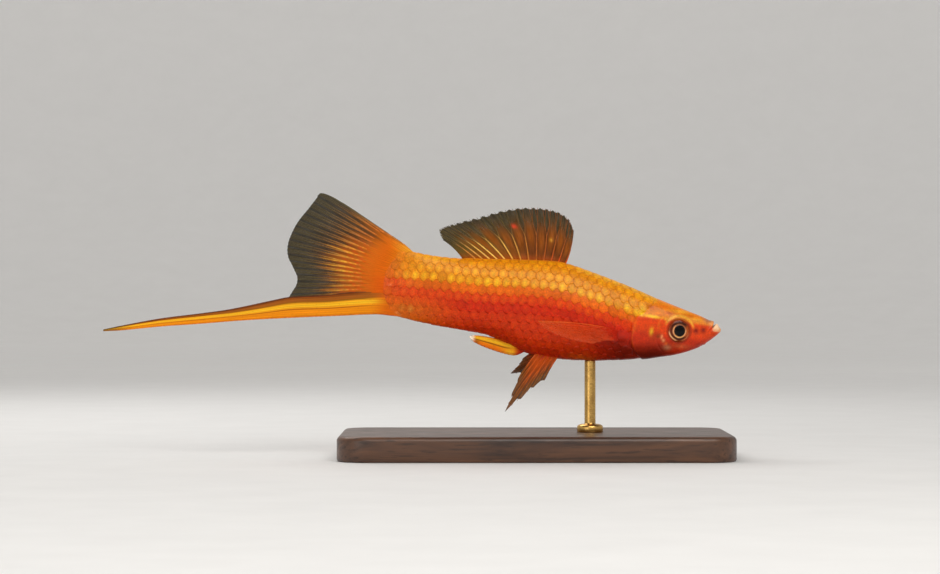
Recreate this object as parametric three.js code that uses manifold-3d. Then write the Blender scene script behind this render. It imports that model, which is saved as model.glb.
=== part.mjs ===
// A male swordtail, a small aquarium fish, as a still life-size model on a plain display stand.
// Millimetres, +Z up, the fish faces +X. The origin is the middle of the stand's underside.
// The fish is drawn level in its own frame, with the tip of its lower jaw at 0 and s the distance
// behind that tip, and is then turned nose-down and lifted onto the rod as one group.
import * as THREE from "three";
import { mergeVertices } from "three/addons/utils/BufferGeometryUtils.js";
import Module from "manifold-3d";

const wasm = await Module();
wasm.setup();

// Pose of the fish above the stand.
const NOSE_DOWN = THREE.MathUtils.degToRad(8);
const SNOUT = { x: 37, z: 25.5 };

// Clearance kept between neighbouring pieces.
const GAP = 0.3;

// Half widths below are measured from the fish's middle plane.
const RING_POINTS = 32;
const BODY_RINGS = 44;
const RING_CROWDING = 1.55;
const BODY_END = 69;

// A smooth line through [s, value] points, with cubic pieces between them.
function smoothLine(points) {
  const slopeAt = (i) => {
    const a = points[Math.max(i - 1, 0)];
    const b = points[Math.min(i + 1, points.length - 1)];
    return (b[1] - a[1]) / (b[0] - a[0]);
  };
  return (s) => {
    const last = points.length - 2;
    let i = 0;
    while (i < last && s > points[i + 1][0]) i += 1;
    const [s0, v0] = points[i];
    const [s1, v1] = points[i + 1];
    const span = s1 - s0;
    const t = THREE.MathUtils.clamp((s - s0) / span, 0, 1);
    const rise = (1 - t) * (1 - t) * t * span * slopeAt(i);
    const fall = t * t * (t - 1) * span * slopeAt(i + 1);
    return v0 + (v1 - v0) * t * t * (3 - 2 * t) + rise + fall;
  };
}

// Side and top outlines of the body.
const backLine = smoothLine([
  [0, 0.2], [0.35, 0.6], [0.9, 0.9], [1.6, 1.25], [4, 2.05], [8.3, 3.12], [13, 4.3], [18.5, 5.85], [25, 7.42],
  [31.5, 8.75], [35, 8.85], [44, 7.95], [50, 7.25], [57, 6.7], [62, 6.85], [66, 7.6], [69, 9.3],
]);
const bellyLine = smoothLine([
  [0, -0.6], [0.35, -1.05], [0.9, -1.65], [1.6, -2.35], [4, -4.3], [8.3, -6.3], [13, -7.55], [18.5, -8.75],
  [25, -9.8], [31.5, -10.35], [36.5, -10.2], [39, -9.7], [41.5, -8.75], [46, -7.65], [51, -7.3],
  [59, -7.0], [64, -6.45], [69, -6.3],
]);
const halfWidth = smoothLine([
  [0, 0.7], [0.35, 1.15], [0.9, 1.5], [1.6, 1.75], [4, 2.45], [8.3, 3.45], [13, 4.25], [18.5, 4.8], [25, 5.1],
  [31.5, 5.0], [38, 4.45], [44, 3.7], [50, 2.95], [58, 2.1], [64, 1.45], [69, 0.8],
]);
const widestLevel = smoothLine([
  [0, -0.1], [1.6, -0.45], [8.3, -1.5], [18.5, -1.7], [31.5, -1.2], [46, 0.1], [69, 0.4],
]);
// 2 is an ellipse and more is boxier: the head is flatter on top than the trunk.
const squareness = smoothLine([[0, 2.4], [8, 2.5], [20, 2.1], [35, 1.95], [69, 1.9]]);

// The rear edge of the gill cover, running up over the nape, as [s, z].
const GILL_EDGE = [
  [12.6, 6.2], [13.4, 3.9], [15.3, 1.6], [17.1, 0.1], [17.6, -2.2], [17.4, -5.0], [16.2, -6.9],
  [14.6, -8.1], [13.6, -9.6],
];
const GILL_LIFT = 0.35;
const GILL_FRONT = 10.5;
// The seam between trunk and tail, behind the anal fin.
const TAIL_SEAM = 49;
// The rounded end of the tail's flesh, where the tail fin's rays start.
const FIN_ROOT_EDGE = [
  [63.6, 10.5], [65.2, 7.4], [66.7, 4.4], [67.4, 1.5], [67.4, -1.5], [66.5, -4.3], [65.0, -6.5],
  [63.9, -9],
];

const at = (s, y, z) => new THREE.Vector3(-s, y, z);
const smoothstep = THREE.MathUtils.smoothstep;

// How far the gill cover stands out of the flank at a point of the head.
function gillLift(s, z) {
  const along = smoothstep(s, GILL_FRONT, GILL_FRONT + 4);
  const above = 1 - smoothstep(z, -0.2, 2.2);
  const below = smoothstep(z, -8.4, -6.4);
  return GILL_LIFT * along * above * below;
}

// A point of the body's surface: angle 0 is the left flank and a quarter turn is the back.
function bodyPoint(s, angle, grow = 0, gills = false) {
  const level = widestLevel(s);
  const power = 2 / squareness(s);
  const c = Math.cos(angle);
  const d = Math.sin(angle);
  const reach = d > 0 ? backLine(s) - level : level - bellyLine(s);
  const z = level + Math.sign(d) * Math.abs(d) ** power * (reach + grow);
  const lift = gills ? gillLift(s, z) : 0;
  const y = Math.sign(c) * Math.abs(c) ** power * (halfWidth(s) + grow + lift);
  return at(s, y, z);
}

// Half width of the body at a height, for what is set on the flank.
function flankAt(s, z) {
  const level = widestLevel(s);
  const reach = z > level ? backLine(s) - level : level - bellyLine(s);
  const n = squareness(s);
  return halfWidth(s) * Math.max(1 - Math.abs((z - level) / reach) ** n, 0) ** (1 / n);
}

function indexed(vertices, faces) {
  const geometry = new THREE.BufferGeometry();
  const flat = vertices.flatMap((v) => [v.x, v.y, v.z]);
  geometry.setAttribute("position", new THREE.Float32BufferAttribute(flat, 3));
  geometry.setIndex(faces.flat());
  return geometry;
}

// A closed skin over rings of equal length; open ends get a fan of triangles.
function skinOver(rings, closed = false) {
  const n = rings[0].length;
  const vertices = rings.flat();
  const faces = [];
  const spans = closed ? rings.length : rings.length - 1;
  for (let i = 0; i < spans; i += 1) {
    const a = i * n;
    const b = ((i + 1) % rings.length) * n;
    for (let k = 0; k < n; k += 1) {
      const next = (k + 1) % n;
      faces.push([a + k, b + next, b + k], [a + k, a + next, b + next]);
    }
  }
  if (!closed) {
    const lastRing = (rings.length - 1) * n;
    [0, lastRing].forEach((start) => {
      const hub = vertices.length;
      const middle = new THREE.Vector3();
      for (let k = 0; k < n; k += 1) middle.addScaledVector(vertices[start + k], 1 / n);
      vertices.push(middle);
      for (let k = 0; k < n; k += 1) {
        const rim = [start + k, start + ((k + 1) % n)];
        faces.push(start === 0 ? [hub, rim[1], rim[0]] : [hub, rim[0], rim[1]]);
      }
    });
  }
  return indexed(vertices, faces);
}

// manifold-3d only joins and cuts: geometries go in and come back.
function toSolid(geometry) {
  const bare = geometry.clone();
  bare.deleteAttribute("normal");
  bare.deleteAttribute("uv");
  const merged = mergeVertices(bare, 1e-4);
  const mesh = {
    numProp: 3,
    vertProperties: merged.getAttribute("position").array,
    triVerts: new Uint32Array(merged.index.array),
  };
  const solid = new wasm.Manifold(new wasm.Mesh(mesh));
  if (solid.volume() > 0) return solid;
  const flipped = mesh.triVerts.slice();
  for (let i = 0; i < flipped.length; i += 3) {
    [flipped[i + 1], flipped[i + 2]] = [flipped[i + 2], flipped[i + 1]];
  }
  return new wasm.Manifold(new wasm.Mesh({ ...mesh, triVerts: flipped }));
}

// The largest body of a solid, which drops any loose scrap that a cut leaves.
function largest(solid) {
  return solid.decompose().reduce((a, b) => (b.volume() > a.volume() ? b : a));
}

function toGeometry(solid) {
  const mesh = largest(solid).getMesh();
  const geometry = new THREE.BufferGeometry();
  geometry.setAttribute("position", new THREE.BufferAttribute(mesh.vertProperties, 3));
  geometry.setIndex(new THREE.BufferAttribute(mesh.triVerts, 1));
  geometry.computeVertexNormals();
  return geometry;
}

// A block through the whole width of the fish, from an outline of [s, z] points.
function block(outline) {
  const shape = new THREE.Shape(outline.map(([s, z]) => new THREE.Vector2(-s, z)));
  const depth = 60;
  const geometry = new THREE.ExtrudeGeometry(shape, { depth, bevelEnabled: false });
  geometry.translate(0, 0, -depth / 2);
  geometry.rotateX(Math.PI / 2);
  return toSolid(geometry);
}

// A spline through [s, z] points, moved back by a distance, as a list of points.
function edgeLine(points, back = 0, steps = 28) {
  const curve = new THREE.CatmullRomCurve3(points.map(([s, z]) => new THREE.Vector3(s, z, 0)));
  return curve.getPoints(steps).map((p) => [p.x + back, p.y]);
}

const FAR_AHEAD = -10;
const FAR_BEHIND = 140;
const ahead = (points, back = 0) =>
  block([[FAR_AHEAD, 40], ...edgeLine(points, back), [FAR_AHEAD, -40]]);
const behind = (points, back = 0) =>
  block([[FAR_BEHIND, 40], ...edgeLine(points, back), [FAR_BEHIND, -40]]);

function bodySolid(grow, gills) {
  const rings = [];
  for (let i = 0; i <= BODY_RINGS; i += 1) {
    const s = BODY_END * (i / BODY_RINGS) ** RING_CROWDING;
    const ring = [];
    for (let k = 0; k < RING_POINTS; k += 1) {
      ring.push(bodyPoint(s, (2 * Math.PI * k) / RING_POINTS, grow, gills));
    }
    rings.push(ring);
  }
  return toSolid(skinOver(rings));
}

const plainBody = bodySolid(0, false);
const gilledBody = bodySolid(0, true);
// The body with the clearance round it, which trims each fin's root to the skin.
const clearBody = bodySolid(GAP, false);

// A round tube of changing radius; the reference direction is never along the path.
function tube(centres, radii, reference, sides = 8, closed = false) {
  const rings = centres.map((centre, i) => {
    const n = centres.length;
    const before = centres[closed ? (i + n - 1) % n : Math.max(i - 1, 0)];
    const after = centres[closed ? (i + 1) % n : Math.min(i + 1, n - 1)];
    const along = after.clone().sub(before).normalize();
    const across = along.clone().cross(reference).normalize();
    const up = across.clone().cross(along);
    return Array.from({ length: sides }, (_, k) => {
      const angle = (2 * Math.PI * k) / sides;
      return centre
        .clone()
        .addScaledVector(across, radii[i] * Math.cos(angle))
        .addScaledVector(up, radii[i] * Math.sin(angle));
    });
  });
  return toSolid(skinOver(rings, closed));
}

// Mouth: a slanting gape behind the jutting lower jaw. The seam runs on down behind the chin.
const GAPE = { rise: 2.3, chin: -5.1, corner: -0.7, width: GAP };
const gapeLine = smoothLine([[-5, 3.75], [-2.6, 3.1], [GAPE.corner, 2.15], [0.2, 1.6], [1.1, 1.2],
  [2.2, 0.8]]);

// The side edge of the gape, moved forward or back, as [s, z] points from the chin up.
function gapeEdge(shift) {
  const steps = 11;
  return Array.from({ length: steps + 1 }, (_, i) => {
    const z = GAPE.chin + ((GAPE.rise - GAPE.chin) * i) / steps;
    return [gapeLine(z) + shift, z];
  });
}
const gape = block([
  ...gapeEdge(GAPE.width / 2),
  ...gapeEdge(-GAPE.width / 2).reverse(),
]);

// A lip follows the edge of the gape from one corner of the mouth over the front to the other.
function lip({ behind: shift, top, thick }) {
  const steps = 16;
  const centres = [];
  const radii = [];
  for (let i = 0; i <= steps; i += 1) {
    const angle = Math.PI * (i / steps - 0.5);
    const round = Math.cos(angle);
    const z = GAPE.corner + (top - GAPE.corner) * round;
    const s = gapeLine(z) + shift;
    const y = Math.sign(angle) * flankAt(s, z) * Math.abs(Math.sin(angle)) ** 0.35;
    centres.push(at(s, y, z));
    radii.push(thick * (0.45 + 0.55 * round));
  }
  return tube(centres, radii, new THREE.Vector3(0, 0, 1));
}
const UPPER_LIP = { behind: 0.35, top: 0.95, thick: 0.3 };
const LOWER_LIP = { behind: -0.52, top: 0.45, thick: 0.4 };

// Eyes: each is turned in its own socket, with a raised rim of skin round it.
const EYE = { s: 8.33, z: -1.39, radius: 2.24, bulge: 0.62, depth: 1.5, toe: 10 };
const eyeSeat = flankAt(EYE.s, EYE.z) - 0.15;

function eyePlacement(side) {
  const turn = new THREE.Euler(side > 0 ? 0 : Math.PI, 0, THREE.MathUtils.degToRad(-EYE.toe));
  const centre = at(EYE.s, side * eyeSeat, EYE.z);
  return new THREE.Matrix4().compose(
    centre,
    new THREE.Quaternion().setFromEuler(turn),
    new THREE.Vector3(1, 1, 1),
  );
}

function eyeGeometry(side) {
  const r = EYE.radius;
  const profile = [
    [0, -EYE.depth], [0.6 * r, -0.85 * EYE.depth], [0.93 * r, -0.45 * EYE.depth], [r, -0.2],
    [0.95 * r, 0.1], [0.8 * r, 0.32], [0.52 * r, 0.46], [0.49 * r, 0.56], [0.25 * r, EYE.bulge],
    [0, EYE.bulge + 0.02],
  ];
  const points = profile.map(([x, y]) => new THREE.Vector2(x, y));
  return new THREE.LatheGeometry(points, 24).applyMatrix4(eyePlacement(side));
}

function socket(side) {
  const length = 6;
  const hole = new THREE.CylinderGeometry(EYE.radius + GAP, EYE.radius + GAP, length, 24);
  hole.translate(0, length / 2 - EYE.depth - GAP, 0);
  return toSolid(hole.applyMatrix4(eyePlacement(side)));
}

function eyeRim(side) {
  const steps = 24;
  const centres = [];
  for (let i = 0; i < steps; i += 1) {
    const angle = (2 * Math.PI * i) / steps;
    const s = EYE.s + (EYE.radius + 0.6) * Math.cos(angle);
    const z = EYE.z + (EYE.radius + 0.6) * Math.sin(angle);
    centres.push(at(s, side * (flankAt(s, z) - 0.12), z));
  }
  return tube(centres, centres.map(() => 0.34), new THREE.Vector3(0, 1, 0), 6, true);
}

// Two small nostrils on each side of the snout.
const NOSTRILS = [
  { s: 4.91, z: -0.85, radius: 0.38 },
  { s: 3.5, z: -0.6, radius: 0.3 },
];

function nostril({ s, z, radius }, side) {
  const ball = new THREE.SphereGeometry(radius, 8, 6);
  ball.translate(-s, side * (flankAt(s, z) + 0.05), z);
  return toSolid(ball);
}

const SIDES = [1, -1];
const headAndJaw = gilledBody.intersect(ahead(GILL_EDGE)).subtract(gape).decompose();
headAndJaw.sort((a, b) => b.volume() - a.volume());

let head = headAndJaw[0].add(lip(UPPER_LIP));
SIDES.forEach((side) => {
  head = head.add(eyeRim(side));
});
SIDES.forEach((side) => {
  head = head.subtract(socket(side));
  NOSTRILS.forEach((place) => {
    head = head.subtract(nostril(place, side));
  });
});
head = head.subtract(gape);
const lowerJaw = headAndJaw[1].add(lip(LOWER_LIP)).subtract(gape);

const trunkAndTail = plainBody.subtract(ahead(GILL_EDGE, GAP));
const seam = (s) => [[s + 0.5, 14], [s, 5], [s - 0.35, 0], [s, -5], [s + 0.5, -14]];
const torso = trunkAndTail.intersect(ahead(seam(TAIL_SEAM)));
const tail = trunkAndTail
  .subtract(ahead(seam(TAIL_SEAM), GAP))
  .intersect(ahead(FIN_ROOT_EDGE));

// Fins: a thin membrane whose rays stand out of both faces as ridges.
const MEMBRANE = 0.25;
const RAY_RIDGE = 0.17;
const EDGE = 0.1;

// A closed sheet from a grid of places; both faces share one pattern of triangles.
function sheet(grid, place) {
  const rows = grid.length;
  const columns = grid[0].length;
  const count = rows * columns;
  const vertices = [1, -1].flatMap((face) =>
    grid.flat().map((p) => place(p.s, p.z, face * p.half, p)),
  );
  const faces = [];
  const both = (a, b, c) => faces.push([a, b, c], [a + count, c + count, b + count]);
  const wall = (a, b) => faces.push([a, b, b + count], [a, b + count, a + count]);
  for (let i = 0; i < rows - 1; i += 1) {
    for (let j = 0; j < columns - 1; j += 1) {
      const a = i * columns + j;
      both(a, a + 1, a + columns + 1);
      both(a, a + columns + 1, a + columns);
    }
    wall(i * columns, (i + 1) * columns);
    wall((i + 2) * columns - 1, (i + 1) * columns - 1);
  }
  for (let j = 0; j < columns - 1; j += 1) {
    wall(j + 1, j);
    wall((rows - 1) * columns + j, (rows - 1) * columns + j + 1);
  }
  return toSolid(indexed(vertices, faces));
}

const mix = (a, b, t) => a.map((v, i) => v + (b[i] - v) * t);

// The grid of a fan of rays. Between two rays the membrane is thinner and its edge is notched.
function fan(rays, { steps, notch = 0.04, bow = 0, swell = 0 }) {
  const columns = [];
  rays.forEach((ray, i) => {
    columns.push({ ...ray, crest: ray.crest ?? 1 });
    const next = rays[i + 1];
    if (next) {
      const root = mix(ray.root, next.root, 0.5);
      const tip = mix(mix(ray.tip, next.tip, 0.5), root, notch);
      columns.push({ root, tip, crest: 0 });
    }
  });
  return columns.map(({ root, tip, crest }) =>
    Array.from({ length: steps + 1 }, (_, j) => {
      const t = j / steps;
      const [s, z] = mix(root, tip, t);
      const sag = bow * 4 * t * (1 - t);
      const length = Math.hypot(tip[0] - root[0], tip[1] - root[1]);
      const rise = [-(tip[1] - root[1]) / length, (tip[0] - root[0]) / length];
      const body = MEMBRANE + swell * (1 - t) ** 4 + RAY_RIDGE * crest * (1 - 0.6 * t);
      const half = THREE.MathUtils.lerp(body, EDGE, smoothstep(t, 0.82, 1.05));
      return { s: s + sag * rise[0], z: z + sag * rise[1], half, t };
    }),
  );
}

// Rays spread evenly between lines of roots and tips.
function spread(count, rootPoints, tipPoints) {
  const lineOf = (points) =>
    new THREE.CatmullRomCurve3(
      points.map(([s, z]) => new THREE.Vector3(s, z, 0)),
      false,
      "centripetal",
    );
  const roots = lineOf(rootPoints);
  const tips = lineOf(tipPoints);
  return Array.from({ length: count }, (_, i) => {
    const r = roots.getPointAt(i / (count - 1));
    const t = tips.getPointAt(i / (count - 1));
    return { root: [r.x, r.y], tip: [t.x, t.y] };
  });
}

const upright = (s, z, offset) => at(s, offset, z);

// Dorsal fin: thirteen rays along the back, leaning further back towards the tail.
const DORSAL = { front: 32.6, pitch: 1.42, rays: 13, sunk: 1.3 };
const DORSAL_TIPS = [
  [31.75, 15.5], [33.4, 18.0], [36.9, 19.0], [41.2, 18.85], [45.8, 17.7], [51.0, 15.5],
  [58.3, 12.0],
];

function dorsalFin() {
  const tips = new THREE.CatmullRomCurve3(
    DORSAL_TIPS.map(([s, z]) => new THREE.Vector3(s, z, 0)),
    false,
    "centripetal",
  );
  const rays = Array.from({ length: DORSAL.rays }, (_, i) => {
    const s = DORSAL.front + DORSAL.pitch * i;
    const tip = tips.getPointAt((i / (DORSAL.rays - 1)) ** 1.06);
    return { root: [s, backLine(s) - DORSAL.sunk], tip: [tip.x, tip.y] };
  });
  const lastRoot = 52.4;
  rays.push({
    root: [lastRoot, backLine(lastRoot) - DORSAL.sunk],
    tip: [57.4, 9.9],
    crest: 0,
  });
  return sheet(fan(rays, { steps: 8, notch: 0.06, bow: 0.25 }), upright).subtract(clearBody);
}

// Tail fin: a fan above and a sword of lengthened rays below, both swaying a little to one side.
function tailSway(s, z) {
  const back = Math.max(s - 60, 0) / 62;
  const ripple = 0.45 * Math.sin((Math.PI * (z + 4.6)) / 9) * smoothstep(s, 68, 84);
  return 2.2 * back * back + (z > -4.6 ? ripple : 0);
}
const swaying = (s, z, offset) => at(s, offset + tailSway(s, z), z);

// The seam of fan and sword and the sword's two edges, as z at each s.
const fanSeam = smoothLine([[60, -0.7], [67.8, -1.6], [73.7, -2.65], [79.4, -4.05], [86, -5.3]]);
const swordTop = smoothLine([
  [60, -0.95], [67.8, -1.9], [73.7, -2.95], [79.4, -4.35], [86, -5.65], [89.9, -7.0],
  [97.6, -9.75], [103.4, -11.4], [111.2, -13.5], [118.9, -16.05], [122.4, -17.3],
]);
const swordBottom = smoothLine([
  [60, -6.3], [65, -6.35], [68.7, -6.4], [75.6, -7.65], [87.4, -9.85], [95.3, -11.45],
  [103.1, -13.2], [111, -14.9], [118.8, -16.8], [122.4, -17.5],
]);
const FAN = { rays: 16, edgeRays: 4 };
const SWORD = { root: 64, tip: 122.4, rays: 6, steps: 26 };

function tailFan() {
  const roots = [[64.2, 6.9], [65.6, 4.2], [66.3, 1.5], [66.2, -1.35]];
  const topEdge = spread(FAN.edgeRays, [[63.4, 7.1], [64.0, 7.0]], [
    [69.4, 10.2], [73.2, 12.15], [77.4, 14.2], [80.8, 15.6],
  ]);
  const margin = [
    [83.0, 15.9], [84.7, 12.9], [86.8, 9.2], [88.0, 5.1], [87.7, 2.5], [86.2, 0.2], [85.1, -2.2],
    [86.0, -5.25],
  ];
  const rays = [...topEdge, ...spread(FAN.rays, roots, margin)];
  const grid = fan(rays, { steps: 8, notch: 0.02, bow: 0.12, swell: 0.3 });
  const aboveSeam = [[120, 40], [60, 40]];
  for (let s = 60; s <= 92; s += 2) aboveSeam.push([s, fanSeam(Math.min(s, 86))]);
  return sheet(grid, swaying)
    .subtract(ahead(FIN_ROOT_EDGE, GAP))
    .intersect(block([...aboveSeam, [120, fanSeam(86)]]));
}

function swordRibbon() {
  const columns = 2 * SWORD.rays - 1;
  const grid = Array.from({ length: columns }, (_, c) =>
    Array.from({ length: SWORD.steps + 1 }, (_, j) => {
      const t = j / SWORD.steps;
      const s = SWORD.root + (SWORD.tip - SWORD.root) * t;
      const z = THREE.MathUtils.lerp(swordTop(s), swordBottom(s), c / (columns - 1));
      const ridge = c % 2 === 0 ? RAY_RIDGE : 0;
      const body = MEMBRANE + 0.3 * (1 - t) ** 8 + ridge * (1 - t);
      return { s, z, half: THREE.MathUtils.lerp(body, EDGE, smoothstep(t, 0.9, 1)), t };
    }),
  );
  return sheet(grid, swaying).subtract(ahead(FIN_ROOT_EDGE, GAP));
}

// Anal fin of a male: a slim folded rod of rays lying close under the tail.
const ANAL = { root: 38.6, tip: 49.5, rays: 4, half: 0.5 };
const analTop = smoothLine([[38, -8.6], [41.6, -8.7], [44.5, -8.3], [47.4, -8.15], [49.5, -8.3]]);
const analBottom = smoothLine([
  [38, -9.6], [39.6, -10.35], [41.5, -10.45], [45.4, -9.9], [48.1, -9.2], [49.5, -8.45],
]);

function analFin() {
  const columns = 2 * ANAL.rays - 1;
  const grid = Array.from({ length: columns }, (_, c) =>
    Array.from({ length: 15 }, (_, j) => {
      const t = j / 14;
      const s = ANAL.root + (ANAL.tip - ANAL.root) * t;
      const across = c / (columns - 1);
      const round = 0.35 + 0.65 * Math.sin(Math.PI * across);
      const ridge = c % 2 === 0 ? 0 : RAY_RIDGE;
      const half = (ANAL.half * round + ridge) * (1 - 0.75 * t * t);
      return { s, z: THREE.MathUtils.lerp(analTop(s), analBottom(s), across), half, t };
    }),
  );
  return sheet(grid, upright).subtract(clearBody);
}

// Pelvic fins: six rays each, hanging from the belly and splayed away from each other.
const PELVIC = { y: 1.0, rootZ: -9.3 };
const PELVIC_FINS = {
  right: {
    side: -1,
    splay: 14,
    roots: [[31.4, -9.3], [35.6, -9.3]],
    tips: [[33.4, -14.9], [35.4, -16.6], [37.6, -19.2], [40.4, -22.2], [39.5, -18.3], [38.7, -15.2]],
  },
  left: {
    side: 1,
    splay: 34,
    roots: [[31.6, -9.3], [36.0, -9.3]],
    tips: [[34.8, -13.6], [37.6, -15.0], [40.2, -14.7], [39.5, -13.6], [38.8, -12.5], [38.3, -11.4]],
  },
};

function pelvicFin({ side, splay, roots, tips }) {
  const rays = tips.map((tip, i) => ({ root: mix(roots[0], roots[1], i / (tips.length - 1)), tip }));
  const slope = THREE.MathUtils.degToRad(splay);
  const splayed = (s, z, offset) => {
    const down = Math.max(PELVIC.rootZ - z, 0);
    const y = PELVIC.y + down * Math.tan(slope) + offset * Math.cos(slope);
    return at(s, side * y, z + offset * Math.sin(slope));
  };
  return sheet(fan(rays, { steps: 9, notch: 0.1, swell: 0.25 }), splayed).subtract(clearBody);
}

// Pectoral fins: a blade of twelve rays on each flank, folded back and a little open.
const PECTORAL = { rays: 9, rootS: 19.2, flare: 12, sunk: 0.9 };
const PECTORAL_ROOTS = [[PECTORAL.rootS, -3.2], [PECTORAL.rootS + 0.3, -5.6]];
const PECTORAL_TIPS = [
  [36.5, -3.3], [35.6, -4.5], [32.4, -5.9], [29.0, -6.8], [25.2, -7.2],
];

function pectoralFin(side) {
  const rays = spread(PECTORAL.rays, PECTORAL_ROOTS, PECTORAL_TIPS);
  const rootY = flankAt(PECTORAL.rootS, -4.4) - PECTORAL.sunk;
  const slope = Math.tan(THREE.MathUtils.degToRad(PECTORAL.flare));
  const folded = (s, z, offset, p) => {
    const back = s - PECTORAL.rootS;
    const y = rootY + PECTORAL.sunk * 1.5 * smoothstep(p.t, 0, 0.2) + back * slope + offset;
    return at(s, side * y, z);
  };
  return sheet(fan(rays, { steps: 7, notch: 0.03, bow: 0.5, swell: 0.2 }), folded).subtract(
    clearBody,
  );
}

// Stand: a flat plate with a chamfered top edge and one short rod with a foot collar.
const BASE = { length: 78, width: 42, thick: 5, corner: 6, chamfer: 1 };
const ROD = { x: 11, radius: 1.1, collarRadius: 2.6, collarHeight: 1.6 };

function baseGeometry() {
  const { length, width, corner, chamfer, thick } = BASE;
  const x = length / 2 - chamfer;
  const y = width / 2 - chamfer;
  const r = corner - chamfer;
  const shape = new THREE.Shape();
  shape.moveTo(-x + r, -y);
  shape.lineTo(x - r, -y);
  shape.absarc(x - r, -y + r, r, -Math.PI / 2, 0);
  shape.absarc(x - r, y - r, r, 0, Math.PI / 2);
  shape.absarc(-x + r, y - r, r, Math.PI / 2, Math.PI);
  shape.absarc(-x + r, -y + r, r, Math.PI, 1.5 * Math.PI);
  const geometry = new THREE.ExtrudeGeometry(shape, {
    depth: thick - 2 * chamfer,
    bevelThickness: chamfer,
    bevelSize: chamfer,
    bevelSegments: 1,
    curveSegments: 4,
  });
  geometry.translate(0, 0, chamfer);
  return geometry;
}

// Height of the belly above the floor over a place of the stand, with the fish in its pose.
function bellyAbove(x) {
  let lowest = Infinity;
  for (let s = 5; s < 60; s += 0.05) {
    const p = at(s, 0, bellyLine(s)).applyAxisAngle(new THREE.Vector3(0, 1, 0), NOSE_DOWN);
    if (Math.abs(p.x + SNOUT.x - x) < ROD.radius) lowest = Math.min(lowest, p.z + SNOUT.z);
  }
  return lowest;
}

function rodGeometry() {
  const foot = BASE.thick + GAP;
  const top = bellyAbove(ROD.x) - GAP;
  const profile = [
    [0, foot], [ROD.collarRadius, foot], [ROD.collarRadius, foot + ROD.collarHeight - 0.5],
    [ROD.collarRadius - 0.5, foot + ROD.collarHeight], [ROD.radius, foot + ROD.collarHeight],
    [ROD.radius, top - 0.25], [ROD.radius - 0.25, top], [0, top],
  ];
  const geometry = new THREE.LatheGeometry(profile.map((p) => new THREE.Vector2(...p)), 20);
  geometry.rotateX(Math.PI / 2);
  geometry.translate(ROD.x, 0, 0);
  return geometry;
}

// Finishes, as seen in strong light against a dark ground.
const finish = (color, roughness, metalness = 0) =>
  new THREE.MeshStandardMaterial({ color, roughness, metalness });
const orangeSkin = finish(0xdc6a1c, 0.35);
const redSkin = finish(0xc8380f, 0.35);
const paleLip = finish(0xe8a98c, 0.4);
const amberFin = finish(0x8a6a35, 0.45);
const goldSword = finish(0xe89418, 0.4);
const darkEye = finish(0x2a1512, 0.1);
const walnut = finish(0x3a2417, 0.5);
const brass = finish(0xb08a45, 0.3, 1);

function named(name, geometry, material) {
  const mesh = new THREE.Mesh(geometry, material);
  mesh.name = name;
  return mesh;
}

const fish = new THREE.Group();
fish.add(named("head", toGeometry(head), redSkin));
fish.add(named("lower_jaw", toGeometry(lowerJaw), paleLip));
fish.add(named("torso", toGeometry(torso), orangeSkin));
fish.add(named("tail", toGeometry(tail), orangeSkin));
fish.add(named("dorsal_fin", toGeometry(dorsalFin()), amberFin));
fish.add(named("tail_fan", toGeometry(tailFan()), amberFin));
fish.add(named("sword", toGeometry(swordRibbon()), goldSword));
fish.add(named("anal_fin", toGeometry(analFin()), goldSword));
SIDES.forEach((side) => {
  const word = side > 0 ? "left" : "right";
  fish.add(named(`eye_${word}`, eyeGeometry(side), darkEye));
  fish.add(named(`pectoral_fin_${word}`, toGeometry(pectoralFin(side)), amberFin));
  fish.add(named(`pelvic_fin_${word}`, toGeometry(pelvicFin(PELVIC_FINS[word])), amberFin));
});
fish.rotation.y = NOSE_DOWN;
fish.position.set(SNOUT.x, 0, SNOUT.z);

const swordtail = new THREE.Group();
swordtail.add(fish);
swordtail.add(named("stand_base", baseGeometry(), walnut));
swordtail.add(named("stand_rod", rodGeometry(), brass));

export default swordtail;
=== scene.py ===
import math

import bpy
import numpy as np
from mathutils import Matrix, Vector


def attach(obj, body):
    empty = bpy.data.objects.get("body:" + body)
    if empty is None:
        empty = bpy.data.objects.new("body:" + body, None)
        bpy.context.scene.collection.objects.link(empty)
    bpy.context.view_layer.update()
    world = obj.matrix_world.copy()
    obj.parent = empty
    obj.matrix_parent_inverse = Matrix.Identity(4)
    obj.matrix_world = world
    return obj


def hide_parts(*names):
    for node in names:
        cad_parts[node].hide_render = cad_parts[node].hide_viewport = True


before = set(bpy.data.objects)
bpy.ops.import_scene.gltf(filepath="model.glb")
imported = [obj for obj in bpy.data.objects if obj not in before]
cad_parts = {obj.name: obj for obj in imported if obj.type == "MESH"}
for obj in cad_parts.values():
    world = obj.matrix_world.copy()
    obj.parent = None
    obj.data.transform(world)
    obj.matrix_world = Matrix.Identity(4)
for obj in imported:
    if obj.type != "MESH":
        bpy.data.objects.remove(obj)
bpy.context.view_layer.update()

MM = 0.001

# The fish is drawn level in its own frame, in millimetres: s behind the tip of the lower jaw, y to its
# left and z up. It is then turned nose-down and lifted onto the rod.
NOSE_DOWN = math.radians(8)
SNOUT_X, SNOUT_Z = 37.0, 25.5


def to_world(points):
    """Fish points (s, y, z) in millimetres as metres in the part's frame."""
    s, y, z = np.moveaxis(np.asarray(points, float), -1, 0)
    x = z * math.sin(NOSE_DOWN) - s * math.cos(NOSE_DOWN) + SNOUT_X
    up = z * math.cos(NOSE_DOWN) + s * math.sin(NOSE_DOWN) + SNOUT_Z
    return np.stack([x, y, up], -1) * MM


def smoothstep(low, high, x):
    t = np.clip((np.asarray(x, float) - low) / (high - low), 0, 1)
    return t * t * (3 - 2 * t)


def hump(x, width):
    return np.exp(-((x / width) ** 2))


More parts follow.
